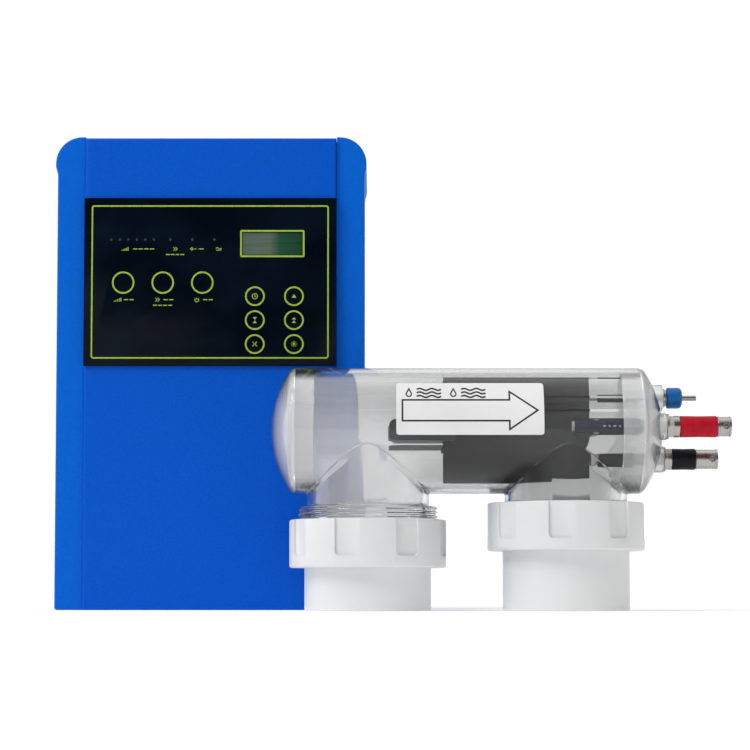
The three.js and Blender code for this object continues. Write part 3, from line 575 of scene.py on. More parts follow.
@dataclass(frozen=True)
class Acrylic(Finish):
    """Clear moulded plastic, which lets light through onto what is inside, and is milkier behind its axis; its colour
    darkens towards grazing edges as painted shade.
    """

    axis: float = 0.0
    depth: float = 0.03
    milk: float = 0.0
    back_milk: float = 0.5
    edge: Color = (0.16, 0.165, 0.17)
    grazing: Point = (0.62, 0.93)

    def paint(self, sheet: Sheet) -> None:
        """Builds the finish's nodes."""
        sheet.fix(IOR=1.49, Specular_Tint=(0.4, 0.4, 0.4, 1.0))
        # darker colour where the surface turns away at grazing angles: painted shade along the edges
        facing = sheet.add("ShaderNodeLayerWeight", Blend=0.5)
        tint = sheet.tint(facing.outputs["Facing"], (self.grazing[0], self.color), (self.grazing[1], self.edge))
        sheet.link(tint, sheet.shader.inputs["Base Color"])
        split = sheet.add("ShaderNodeSeparateXYZ")
        sheet.link(sheet.place(), split.inputs["Vector"])
        ends = self.axis, self.axis + self.depth
        behind = sheet.spread(split.outputs["Y"], 1 - self.milk, 1 - self.back_milk, *ends)
        flow = sheet.spread(sheet.noise(26.0, 3.0, sheet.place((0.4, 1.0, 1.0))), 0.98, 1.0)
        clear = sheet.add("ShaderNodeMath")
        clear.operation = "MULTIPLY"
        sheet.link(behind, clear.inputs[0])
        sheet.link(flow, clear.inputs[1])
        sheet.link(clear.outputs["Value"], sheet.shader.inputs["Transmission Weight"])
        fine = sheet.noise(60.0, 2.0)
        sheet.link(sheet.spread(fine, self.roughness, self.roughness + 0.03), sheet.shader.inputs["Roughness"])
        path = sheet.add("ShaderNodeLightPath")
        through = sheet.add("ShaderNodeBsdfTransparent", Color=(0.82, 0.82, 0.82, 1.0))
        mix = sheet.add("ShaderNodeMixShader")
        sheet.link(path.outputs["Is Shadow Ray"], mix.inputs[0])
        sheet.link(sheet.shader.outputs["BSDF"], mix.inputs[1])
        sheet.link(through.outputs["BSDF"], mix.inputs[2])
        sheet.link(mix.outputs["Shader"], sheet.output.inputs["Surface"])


@dataclass(frozen=True)
class Sleeving(Finish):
    """Shrunk plastic sleeving, with faint wrinkles round it."""

    def paint(self, sheet: Sheet) -> None:
        """Builds the finish's nodes."""
        wrinkles = sheet.noise(90.0, 3.0, sheet.place((4.0, 1.0, 1.0)))
        color = sheet.tint(wrinkles, (0.3, shade(self.color, 0.85)), (0.7, shade(self.color, 1.12)))
        sheet.link(color, sheet.shader.inputs["Base Color"])
        sheet.link(sheet.spread(wrinkles, self.roughness, self.roughness + 0.12), sheet.shader.inputs["Roughness"])
        sheet.fix(Specular_IOR_Level=0.12)
        sheet.bump(wrinkles, 0.00015, 0.5)


@dataclass(frozen=True)
class Board(Finish):
    """A lacquered circuit board with paler tracks."""

    def paint(self, sheet: Sheet) -> None:
        """Builds the finish's nodes."""
        tracks = sheet.add("ShaderNodeTexBrick", Scale=160.0, Mortar_Size=0.03)
        tracks.inputs["Color1"].default_value = (*self.color, 1.0)
        tracks.inputs["Color2"].default_value = (*shade(self.color, 0.8), 1.0)
        tracks.inputs["Mortar"].default_value = (*shade(self.color, 2.2), 1.0)
        turn = sheet.add("ShaderNodeMapping", Rotation=(math.radians(90), 0.0, 0.0))
        sheet.link(sheet.place(), turn.inputs["Vector"])
        sheet.link(turn.outputs["Vector"], tracks.inputs["Vector"])
        sheet.link(tracks.outputs["Color"], sheet.shader.inputs["Base Color"])
        sheet.link(sheet.spread(sheet.noise(80.0), 0.3, 0.5), sheet.shader.inputs["Roughness"])


@dataclass(frozen=True)
class Tape(Finish):
    """Winding tape, wrapped in overlapping turns."""

    def paint(self, sheet: Sheet) -> None:
        """Builds the finish's nodes."""
        wave = sheet.add("ShaderNodeTexWave", Scale=28.0, Distortion=1.5, Detail=1.0)
        sheet.link(sheet.place((1.0, 0.2, 1.0)), wave.inputs["Vector"])
        color = sheet.tint(wave.outputs["Fac"], (0.2, shade(self.color, 0.75)), (0.8, self.color))
        sheet.link(color, sheet.shader.inputs["Base Color"])
        sheet.fix(Roughness=self.roughness)
        sheet.bump(wave.outputs["Fac"], 0.0004, 0.6)


BLUE_COAT = PowderCoat("blue_coat", "blue_powder_coat", (0.0, 0.09, 0.56), 0.44)
# the cheeks' coat is the cover's blue made lighter: painted light on the cheek strips, for the light that falls on them
# from the left
CHEEK_COAT_PAINTED_LIGHT = PowderCoat("cheek_coat_painted_light", "blue_powder_coat", (0.0, 0.122, 0.62), 0.42)
PANEL_GLOSS = Gloss("panel_gloss", "gloss_panel", (0.001, 0.003, 0.007), 0.12)
PANEL_INK = Ink("panel_ink", "gloss_panel", (0.34, 0.5, 0.035), 0.5)
LENS = Moulded("lamp_lens", "lamp_lens", (0.02, 0.05, 0.09), 0.18)
PVC = Moulded("white_pvc", "white_pvc", (0.73, 0.735, 0.74), 0.38)
RING_PVC = Moulded("ring_pvc", "white_pvc", (0.7, 0.71, 0.7), 0.45)
BLACK_NYLON = Moulded("black_nylon", "black_nylon", (0.02, 0.021, 0.023), 0.5)
BLUE_CAP = Moulded("blue_cap", "blue_cap", (0.0, 0.115, 0.38), 0.38, gloss=0.3)
RUBBER = Moulded("black_rubber", "black_rubber", (0.018, 0.018, 0.018), 0.75, gloss=0.3)
VINYL = Moulded("label_vinyl", "label_film", (0.8, 0.8, 0.8), 0.42, texture=120.0)
LABEL_INK = Ink("label_ink", "label_film", (0.012, 0.012, 0.013), 0.45)
CELL_AXIS = (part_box("cell_body")[0].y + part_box("cell_body")[1].y) / 2
CLEAR = Acrylic("clear", "clear_acrylic", (0.9, 0.905, 0.905), 0.02, axis=CELL_AXIS)
# the caps' edge colour is darker still: more painted shade along their edges
CAP_CLEAR = Acrylic(
    "cap_clear",
    "clear_acrylic",
    (0.9, 0.905, 0.905),
    0.03,
    axis=CELL_AXIS,
    milk=0.26,
    edge=(0.05, 0.052, 0.055),
    grazing=(0.5, 0.85),
)
PLATE_COAT = Coated("coated_titanium", "coated_titanium", (0.024, 0.024, 0.025), 0.62)
TITANIUM = Metal("bare_titanium", "bare_titanium", (0.42, 0.41, 0.4), 0.35)
NICKEL = Metal("nickel_plate", "nickel_plate", (0.46, 0.45, 0.425), 0.27)
STEEL = Metal("zinc_steel", "zinc_steel", (0.6, 0.61, 0.63), 0.32)
ALUMINIUM = Metal("bare_aluminium", "bare_aluminium", (0.7, 0.71, 0.72), 0.38)
NAVY_SHRINK = Sleeving("navy_shrink", "blue_shrink", (0.005, 0.006, 0.024), 0.34)
BLACK_SHRINK = Sleeving("black_shrink", "black_sleeve", (0.009, 0.01, 0.012), 0.4)
RED_SLEEVE = Sleeving("red_sleeve", "red_sleeve", (0.42, 0.005, 0.018), 0.36)
SHRINK_INK = Ink("shrink_ink", "blue_shrink", (0.3, 0.32, 0.42), 0.5)
BOARD = Board("circuit_board", "circuit_board", (0.02, 0.12, 0.05))
TAPE = Tape("winding_tape", "winding_tape", (0.5, 0.36, 0.05), 0.5)


# ---------------------------------------------------------------- sub-assemblies


class Assembly:
    """A group of pieces that ride on the frame's bodies."""

    def fit(self, piece: Object, body: str, finish: Finish, *nodes: str, smooth: float = 35.0) -> Object:
        """Shades and paints a finished piece and puts it on its body.

        Args:
            piece: the finished piece.
            body: the body that it moves with.
            finish: its finish.
            nodes: the CAD nodes that it stands for.
            smooth: edges flatter than this angle, in degrees, are shaded smooth.

        Returns:
            The piece.
        """
        activate(piece)
        bpy.ops.object.shade_smooth_by_angle(angle=math.radians(smooth))
        piece.data.materials.clear()
        piece.data.materials.append(finish.material())
        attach(piece, body)
        if nodes:
            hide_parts(*nodes)
        log.info("%s rides on %s, %d faces", piece.name, body, len(piece.data.polygons))
        return piece

    def keep(self, finish: Finish, *nodes: str) -> None:
        """Gives CAD nodes that stay a finish."""
        for name in nodes:
            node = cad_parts[name]
            node.material_slots[0].material = finish.material()
            log.info("%s stays", name)


@dataclass
class ControlBox(Assembly):
    """The folded steel case with its cheeks, raised front, back, glands and screws."""

    body: str = "control_box"
    sheet: float = 0.0015
    cheek_wall: float = 0.002
    fold: float = 0.0016
    plateau_fold: float = 0.0025
    head_radius: float = 0.02
    head_height: float = 0.0295
    head_bulge: float = 0.0016
    neck_height: float = 0.008
    foot_radius: float = 0.002
    back_fold: float = 0.03
    keyhole_head: float = 0.005
    keyhole_shank: float = 0.0025
    keyhole_rise: float = 0.01
    keyhole_spacing: float = 0.15
    keyhole_drop: float = 0.06
    shelf_gap: float = 0.0003

    def __post_init__(self) -> None:
        """Reads the case's places from the frame."""
        self.left, self.right = Extent.of("left_cheek"), Extent.of("right_cheek")
        self.cover_box = Extent.of("front_cover")
        self.middle = (self.left.low.x + self.right.high.x) / 2

    def half_outline(self, wall: float, inner: float, low: float) -> list[Point]:
        """Draws the right half of the case's front view.

        Args:
            wall: how far inside the case's outer face the outline runs.
            inner: where the half ends towards the middle.
            low: its lowest height.

        Returns:
            Points from the low inner corner round to the high inner corner, counted from the case's middle.
        """
        bulged = self.right.high.x - self.middle - wall
        side = bulged - self.head_bulge
        top = self.right.high.z - wall
        corner = self.head_radius - wall
        neck = self.right.high.z - self.head_height
        foot = max(self.foot_radius - wall, 0.0)
        base = arc((side - foot, low + foot), foot, -90, 0, 4) if foot > MERGED else [(side, low)]
        shares = [k / 8 for k in range(9)]
        swell = [
            (side + self.head_bulge * t * t * (3 - 2 * t), neck + self.neck_height * t) for t in shares
        ]
        crown = arc((bulged - corner, top - corner), corner, 0, 90, 20)
        return [(inner, low), *base, *swell, *crown, (inner, top)]

    def cheek_block(self, wall: float, fold: float) -> Object:
        """Makes the right cheek's shape as a full solid, with its front edges folded round.

        Args:
            wall: how far inside the cheek's outer face it runs.
            fold: radius of the front edges.

        Returns:
            The solid, which reaches past the open sides when it is an inner one.
        """
        past = OVERSHOOT if wall else 0.0
        inner = self.right.low.x - self.middle - past
        front, back = self.right.low.y + wall, self.right.high.y + past
        points = [(self.middle + x, z) for x, z in self.half_outline(wall, inner, self.right.low.z + wall)]
        piece = pushed("right_side_cheek", upright(points, front), Vector((0, back - front, 0)))
        seam = self.middle + inner + MERGED
        with editing(piece):
            choose(
                piece,
                Part.EDGES,
                lambda edge: all(v.co.y < front + MERGED for v in edge.verts)
                and any(v.co.x > seam for v in edge.verts),
            )
            bpy.ops.mesh.bevel(offset=fold, segments=4, affect="EDGES")
        close_up(piece)
        return piece

    def cheek(self) -> Object:
        """Folds the right cheek: front strip, side wall and swollen round head."""
        hollow = self.cheek_block(self.cheek_wall, self.fold / 4)
        return combine(self.cheek_block(0.0, self.fold), Blend.CUT, hollow)

    def cheeks(self) -> None:
        """Makes both cheeks, the left one as a mirrored copy."""
        right = self.cheek()
        mirror = Matrix.Translation((2 * self.middle, 0, 0)) @ Matrix.Diagonal((-1, 1, 1, 1))
        left = copied(right, "left_side_cheek", mirror)
        self.fit(right, self.body, CHEEK_COAT_PAINTED_LIGHT, "right_cheek")
        self.fit(left, self.body, CHEEK_COAT_PAINTED_LIGHT, "left_cheek")

    def cover(self, openings: Sequence[Object]) -> None:
        """Folds the raised front, with a shelf under the bottom plate.

        Args:
            openings: solids cut out of it for what is on the panel.
        """
        low, high = self.cover_box.low, self.cover_box.high
        piece = block("raised_front", low, high)
        with editing(piece):
            choose(piece, Part.FACES, lambda face: face.calc_center_median().y > high.y - MERGED)
            bpy.ops.mesh.delete(type="FACE")
            choose(piece, Part.FACES, lambda face: face.calc_center_median().z < low.z + MERGED)
            bpy.ops.mesh.delete(type="FACE")
            choose(
                piece,
                Part.EDGES,
                lambda edge: all(v.co.y < low.y + MERGED for v in edge.verts)
                and any(v.co.z > low.z + MERGED for v in edge.verts),
            )
            bpy.ops.mesh.bevel(offset=self.plateau_fold, segments=5, affect="EDGES")
        finish_modifier(piece, "SOLIDIFY", thickness=self.sheet, offset=-1, use_even_offset=True)
        close_up(piece)
        top = Extent.of("bottom_plate").low.z - self.shelf_gap
        inset = self.sheet / 2
        shelf = block(
            "shelf",
            (low.x + inset, low.y + inset, top - self.sheet),
            (high.x - inset, high.y, top),
        )
        screws = [
            turned(
                "screw_hole",
                [(0, top - self.sheet - OVERSHOOT), (0.0023, top - self.sheet - OVERSHOOT), (0.0023, top + OVERSHOOT), (0, top + OVERSHOOT)],
                Axis.Z,
                Vector((Extent.of(name).middle.x, Extent.of(name).middle.y, 0)),
                24,
            )
            for name in ("left_cover_screw", "right_cover_screw")
        ]
        combine(piece, Blend.JOIN, shelf)
        combine(piece, Blend.CUT, *screws, *openings)
        self.fit(piece, self.body, BLUE_COAT, "front_cover")

    def keyhole(self, side: int) -> Object:
        """Makes the cutter of one hanging hole: a round with a slot for the shank above it."""
        x = self.middle + side * self.keyhole_spacing / 2
        z = self.cover_box.high.z - self.keyhole_drop
        half = math.degrees(math.asin(self.keyhole_shank / self.keyhole_head))
        rise = z + self.keyhole_rise - self.keyhole_shank
        points = arc((x, z), self.keyhole_head, 90 + half, 450 - half, 24)
        points += arc((x, rise), self.keyhole_shank, 0, 180, 10)
        back = self.left.high.y
        start = back - self.sheet - OVERSHOOT
        return pushed("keyhole", upright(points, start), Vector((0, self.sheet + 2 * OVERSHOOT, 0)))

    def back(self) -> None:
        """Folds the back sheet with its two sides and the roof, and cuts the keyholes."""
        pan = Extent.of("back_pan")
        wall = self.cheek_wall + GAP
        half = self.half_outline(wall, 0.0, pan.low.z)
        whole = half + [(-x, z) for x, z in reversed(half) if x > 0]
        points = [(self.middle + x, z) for x, z in whole]
        inside = pan.high.y - self.sheet
        piece = pushed("back_and_roof", upright(points, inside), Vector((0, self.sheet, 0)))
        reach = self.right.high.x - self.middle - self.head_bulge - wall
        top = self.right.high.z - self.head_height
        folds = []
        for side in (-1, 1):
            ends = sorted((self.middle + side * reach, self.middle + side * (reach - self.sheet)))
            fold = block(
                "side_fold",
                (ends[0], pan.high.y - self.back_fold, pan.low.z),
                (ends[1], pan.high.y, top),
            )
            folds.append(fold)
        roof = block(
            "roof",
            (self.cover_box.low.x, pan.low.y, self.cover_box.high.z - self.sheet),
            (self.cover_box.high.x, pan.high.y, self.cover_box.high.z),
        )
        combine(piece, Blend.JOIN, *folds, roof)
        combine(piece, Blend.CUT, self.keyhole(-1), self.keyhole(1))
        self.fit(piece, self.body, BLUE_COAT, "back_pan")

    def inside(self) -> None:
        """Finishes the pieces that stay as they are: the floor, what is in the box, glands and screws."""
        self.keep(BLUE_COAT, "bottom_plate")
        self.keep(TAPE, "ring_transformer")
        self.keep(STEEL, "transformer_clamp", "left_cover_screw", "right_cover_screw")
        self.keep(BOARD, "power_board", "keypad_board")
        self.keep(ALUMINIUM, "heat_sink")
        self.keep(BLACK_NYLON, "mains_gland", "cell_lead_gland")


class Artwork:
    """Flat print, drawn in x and z, and raised a little from the face that it is printed on."""

    def __init__(self, name: str, face: float, thickness: float = 0.00006) -> None:
        """Starts a drawing.

        Args:
            name: the printed piece's name.
            face: place along Y of the face that carries the print.
            thickness: of the ink.
        """
        self.name = name
        self.face = face
        self.thickness = thickness
        self.shapes: list[Object] = []

    def solid(self, points: Sequence[Point]) -> None:
        """Draws a filled outline."""
        self.shapes.append(outline("ink", upright(points, self.face), filled=True))

    def frame(self, points: Sequence[Point], line: float) -> None:
        """Draws a closed line inside an outline."""
        shape = outline("ink", upright(points, self.face), filled=True)
        with editing(shape):
            bpy.ops.mesh.select_mode(type="FACE")
            bpy.ops.mesh.select_all(action="SELECT")
            bpy.ops.mesh.inset(thickness=line, depth=0)
            bpy.ops.mesh.delete(type="FACE")
        self.shapes.append(shape)

    def ring(self, x: float, z: float, radius: float, line: float, steps: int = 48) -> None:
        """Draws a circle of some line width inside a radius."""
        self.frame(arc((x, z), radius, 0, 360 - 360 / steps, steps - 1), line)

    def dot(self, x: float, z: float, radius: float) -> None:
        """Draws a filled round."""
        self.solid(arc((x, z), radius, 0, 345, 23))

    def bar(self, x: float, z: float, width: float, height: float) -> None:
        """Draws a filled rectangle about its middle."""
        self.solid(rectangle(x, z, width, height))

    def stroke(self, points: Sequence[Point], line: float) -> None:
        """Draws an open line of one width through some points."""
        places = [Vector(point) for point in points]
        sides: tuple[list[Point], list[Point]] = ([], [])
        for i, place in enumerate(places):
            before = (place - places[i - 1]).normalized() if i else None
            after = (places[i + 1] - place).normalized() if i + 1 < len(places) else None
            along = ((before or after) + (after or before)).normalized()
            across = Vector((-along.y, along.x))
            lean = abs(along.dot(after or before))
            offset = across * (line / 2 / max(lean, 0.4))
            sides[0].append(tuple(place + offset))
            sides[1].append(tuple(place - offset))
        self.solid(sides[0] + sides[1][::-1])

    def sheet(self) -> Object:
        """Gathers the drawing as flat faces."""
        return gathered(self.name, self.shapes)

    def printed(self) -> Object:
        """Gives the drawing its thickness, standing out from its face."""
        piece = self.sheet()
        with editing(piece):
            bpy.ops.mesh.select_all(action="SELECT")
            bpy.ops.mesh.extrude_region_move(TRANSFORM_OT_translate={"value": (0, -self.thickness, 0)})
        close_up(piece)
        return piece


class Symbol(Enum):
    """A plain pictogram on the panel."""

    LEVEL = "rising bars"
    BOOST = "double chevron"
    POWER = "open ring and bar"
    SALT = "crystal"
    STILL = "crossed wave"
    CLOCK = "clock face"
    MINUTE = "one arrow up"
    TIMER = "hourglass"
    HOUR = "two arrows up"
    CLEAR = "cross"
    DAY = "sun"


def draw_symbol(art: Artwork, symbol: Symbol, x: float, z: float, size: float, line: float) -> None:
    """Draws one pictogram.

    Args:
        art: the drawing that it goes into.
        symbol: which pictogram.
        x: middle of the pictogram.
        z: middle of the pictogram.
        size: its height.
        line: width of its lines.
    """
    half = size / 2
    if symbol is Symbol.LEVEL:
        for k in range(5):
            height = size * (k + 1) / 5
            art.bar(x + (k - 2) * size * 0.42, z - half + height / 2, line * 1.3, height)
    elif symbol is Symbol.BOOST:
        for k in (-1, 0):
            base = x + k * size * 0.6 + size * 0.1
            art.stroke([(base, z + half), (base + half, z), (base, z - half)], line)
    elif symbol is Symbol.POWER:
        art.stroke(arc((x, z - size * 0.06), half, 125, 415, 24), line)
        art.bar(x, z + half * 0.55, line, half)
    elif symbol is Symbol.SALT:
        art.frame([(x - half, z), (x, z - half), (x + half, z), (x, z + half)], line)
        art.bar(x + size, z, size * 0.6, line)
    elif symbol is Symbol.STILL:
        wave = [(x + size * (t - 0.5) * 2, z + half * 0.5 * math.sin(math.tau * t)) for t in (k / 12 for k in range(13))]
        art.stroke(wave, line)
        art.bar(x, z - size * 0.62, size * 1.8, line)
    elif symbol is Symbol.CLOCK:
        art.ring(x, z, half, line, 32)
        art.stroke([(x, z + half * 0.62), (x, z), (x + half * 0.45, z - half * 0.3)], line)
    elif symbol is Symbol.MINUTE:
        art.solid([(x - half * 0.8, z - half * 0.5), (x + half * 0.8, z - half * 0.5), (x, z + half * 0.7)])
    elif symbol is Symbol.HOUR:
        for k in (-1, 1):
            base = z + k * half * 0.55 - half * 0.35
            art.solid([(x - half * 0.7, base), (x + half * 0.7, base), (x, base + half * 0.8)])
    elif symbol is Symbol.TIMER:
        art.solid([(x - half * 0.7, z + half), (x, z + half * 0.12), (x + half * 0.7, z + half)])
        art.solid([(x - half * 0.7, z - half), (x + half * 0.7, z - half), (x, z - half * 0.12)])
    elif symbol is Symbol.CLEAR:
        reach = half * 0.75
        art.stroke([(x - reach, z - reach), (x + reach, z + reach)], line)
        art.stroke([(x - reach, z + reach), (x + reach, z - reach)], line)
    elif symbol is Symbol.DAY:
        art.dot(x, z, half * 0.45)
        for k in range(8):
            spoke = Vector((math.cos(k * math.pi / 4), math.sin(k * math.pi / 4)))
            ends = [Vector((x, z)) + spoke * half * reach for reach in (0.68, 1.0)]
            art.stroke([tuple(end) for end in ends], line * 0.8)


@dataclass
class ControlPanel(Assembly):
    """The gloss overlay with its print, display, lamps and keys."""

    body: str = "control_box"
    key_fit: float = 0.0003
    key_cap: float = 0.0012
    stem_radius: float = 0.0035
    lamp_radius: float = 0.0013
    lamp_pitch: float = 0.00635
    lamp_apart: float = 0.0164
    level_lamps: int = 6
    single_lamps: int = 3
    bar_overhang: float = 0.003
    border_width: float = 0.177
    border_height: float = 0.115
    border_line: float = 0.0011
    display_frame: float = 0.0013
    window_width: float = 0.045
    window_height: float = 0.0174
    ring_inset: float = 0.00025
    ring_line: float = 0.0012
    symbol_size: float = 0.0036
    symbol_line: float = 0.0005

    def __post_init__(self) -> None:
        """Reads the panel's places from the frame."""
        self.panel = Extent.of("fascia_panel")
        self.display = Extent.of("lcd_module")
        self.strip = Extent.of("indicator_strip")
        self.face = self.panel.low.y
        self.large = ("output_key", "boost_key", "power_key")
        self.small = ("clock_key", "minute_key", "timer_key", "hour_key", "clear_key", "day_key")

    def lamp_places(self) -> list[float]:
        """Gives each lamp's place along X."""
        first = self.strip.low.x + self.bar_overhang
        last = self.strip.high.x - self.bar_overhang
        level = [first + k * self.lamp_pitch for k in range(self.level_lamps)]
        return level + [last - k * self.lamp_apart for k in reversed(range(self.single_lamps))]

    def round_cutter(self, x: float, z: float, radius: float, start: float, end: float) -> Object:
        """Makes a round cutter along Y."""
        section = [(0, start), (radius, start), (radius, end), (0, end)]
        return turned("cutter", section, Axis.Y, Vector((x, 0, z)), 48)

    def window_cutter(self, grow: float, start: float, end: float) -> Object:
        """Makes a cutter along Y in the display window's shape."""
        x, z = self.display.middle.x, self.display.middle.z
        points = rectangle(x, z, self.window_width + grow, self.window_height + grow, 0.0006 + grow / 2)
        return pushed("cutter", upright(points, start), Vector((0, end - start, 0)))

    def cover_openings(self, front: float, back: float) -> list[Object]:
        """Makes the cutters for the raised front behind the panel.

        Args:
            front: place along Y where they start.
            back: place along Y where they end.

        Returns:
            A cutter for each key's stem, one for the display and one for the lamps.
        """
        stems = [
            self.round_cutter(Extent.of(key).middle.x, Extent.of(key).middle.z, self.stem_radius + 0.001, front, back)
            for key in (*self.large, *self.small)
        ]
        lamps = self.lamp_places()
        z = self.strip.middle.z
        reach = 2 * self.lamp_radius
        slot = rectangle((lamps[0] + lamps[-1]) / 2, z, lamps[-1] - lamps[0] + 2 * reach, 2 * reach, reach * 0.9)
        row = pushed("cutter", upright(slot, front), Vector((0, back - front, 0)))
        return [*stems, self.window_cutter(2 * GAP, front, back), row]

    def overlay(self) -> None:
        """Cuts the gloss overlay out for its keys, lamps and display."""
        low, high = self.panel.low, self.panel.high
        middle = self.panel.middle
        points = rectangle(middle.x, middle.z, high.x - low.x, high.z - low.z, 0.0006)
        piece = pushed("gloss_overlay", upright(points, low.y), Vector((0, high.y - low.y, 0)))
        eased(piece, 0.0003)
        start, end = low.y - OVERSHOOT, high.y + OVERSHOOT
        keys = []
        for key in (*self.large, *self.small):
            box = Extent.of(key)
            keys.append(self.round_cutter(box.middle.x, box.middle.z, box.size.x / 2 + self.key_fit, start, end))
        lamps = [self.round_cutter(x, self.strip.middle.z, self.lamp_radius, start, end) for x in self.lamp_places()]
        combine(piece, Blend.CUT, gathered("cutters", [*keys, *lamps]), self.window_cutter(0.0, start, end))
        self.fit(piece, self.body, PANEL_GLOSS, "fascia_panel")

    def print(self) -> None:
        """Prints the border, the display's frame and the pictograms on the overlay."""
        art = Artwork("panel_print", self.face)
        middle = self.panel.middle
        art.frame(rectangle(middle.x, middle.z, self.border_width, self.border_height, 0.002), self.border_line)
        x, z = self.display.middle.x, self.display.middle.z
        grow = 2 * self.display_frame + 0.0004
        art.frame(
            rectangle(x, z, self.window_width + grow, self.window_height + grow, 0.0012), self.display_frame
        )
        self.captions(art)
        self.fit(art.printed(), self.body, PANEL_INK)

    def captions(self, art: Artwork) -> None:
        """Draws the pictograms and dashes under the lamps and the large keys."""
        size, line = self.symbol_size, self.symbol_line
        lamps = self.lamp_places()
        z = self.strip.middle.z - 0.0072
        level = (lamps[0] + lamps[self.level_lamps - 1]) / 2 + 0.004
        draw_symbol(art, Symbol.LEVEL, level - 0.0095, z, size * 0.75, line)
        for k in range(4):
            art.bar(level - 0.002 + k * 0.0042, z, 0.0032, line * 1.4)
        boost = level + 0.0278
        draw_symbol(art, Symbol.BOOST, boost, z, size * 0.75, line)
        for k in (-1.5, -0.5, 0.5, 1.5):
            art.bar(boost + k * 0.0036, z - 0.0042, 0.0028, line * 1.4)
        draw_symbol(art, Symbol.SALT, boost + 0.0125, z, size * 0.75, line)
        art.bar(boost + 0.0195, z, 0.0036, line * 1.4)
        draw_symbol(art, Symbol.STILL, boost + 0.0325, z + 0.0004, size * 0.6, line)
        for key, symbol in zip(self.large, (Symbol.LEVEL, Symbol.BOOST, Symbol.POWER)):
            box = Extent.of(key)
            below = box.low.z - 0.0042
            draw_symbol(art, symbol, box.middle.x - 0.004, below, size * 0.8, line)
            for k in range(2):
                art.bar(box.middle.x + 0.0022 + k * 0.0042, below, 0.0032, line * 1.4)
            if symbol is Symbol.BOOST:
                for k in (-1.5, -0.5, 0.5, 1.5):
                    art.bar(box.middle.x + k * 0.0038, below - 0.0042, 0.003, line * 1.4)

    def key(self, node: str, symbol: Symbol | None) -> None:
        """Makes one key with the ring and pictogram printed on it.

        Args:
            node: the key's CAD node, which is also its body.
            symbol: what is printed inside its ring.
        """
        box = Extent.of(node)
        radius, front = box.size.x / 2, box.low.y
        back = front + self.key_cap
        section = softened(
            [
                (0, front, 0),
                (radius, front, 0.0003),
                (radius, back, 0.0002),
                (self.stem_radius, back, 0.0005),
                (self.stem_radius, box.high.y, 0.0004),
                (0, box.high.y, 0),
            ]
        )
        centre = Vector((box.middle.x, 0, box.middle.z))
        self.fit(turned(node + "_cap", section, Axis.Y, centre, 72), node, PANEL_GLOSS, node)
        art = Artwork(node + "_print", front)
        art.ring(box.middle.x, box.middle.z, radius - self.ring_inset, self.ring_line)
        if symbol:
            draw_symbol(art, symbol, box.middle.x, box.middle.z, self.symbol_size * 1.25, self.symbol_line * 1.1)
        self.fit(art.printed(), node, PANEL_INK)

    def keys(self) -> None:
        """Makes all nine keys."""
        for node in self.large:
            self.key(node, None)
        symbols = (Symbol.CLOCK, Symbol.MINUTE, Symbol.TIMER, Symbol.HOUR, Symbol.CLEAR, Symbol.DAY)
        for node, symbol in zip(self.small, symbols):
            self.key(node, symbol)

    def lamps(self) -> None:
        """Makes the light pipes on their bar."""
        front, back = self.strip.low.y, self.strip.high.y
        radius = self.lamp_radius - 0.0002
        section = softened([(0, front, 0), (radius, front, 0.0004), (radius, back - 0.001, 0), (0, back - 0.001, 0)])
        z = self.strip.middle.z
        first, *others = self.lamp_places()
        pipe = turned("pipe", section, Axis.Y, Vector((first, 0, z)), 24)
        pipes = [pipe] + [copied(pipe, "pipe", Matrix.Translation((x - first, 0, 0))) for x in others]
        low, high = self.strip.low, self.strip.high
        bar = eased(block("bar", (low.x, high.y - 0.003, low.z), high), 0.0003)
        piece = combine(bar, Blend.JOIN, gathered("pipes", pipes))
        piece.name = "light_pipes"
        self.fit(piece, self.body, LENS, "indicator_strip")

    def screen(self) -> None:
        """Makes the display: a window on its block."""
        low, high = self.display.low, self.display.high
        x, z = self.display.middle.x, self.display.middle.z
        points = rectangle(x, z, self.window_width - 2 * GAP, self.window_height - 2 * GAP, 0.0006)
        window = pushed("display_window", upright(points, low.y), Vector((0, high.y - low.y - 0.001, 0)))
        backing = block("backing", (low.x, high.y - 0.005, low.z), high)
        eased(backing, 0.0005)
        combine(window, Blend.JOIN, backing)
        # its first colour, the pale left, is part of the display's painted reflection
        glass = Display("display_glass", "display", (0.1, 0.145, 0.12), 0.16, left=x - self.window_width / 2)
        self.fit(window, self.body, glass, "lcd_module")


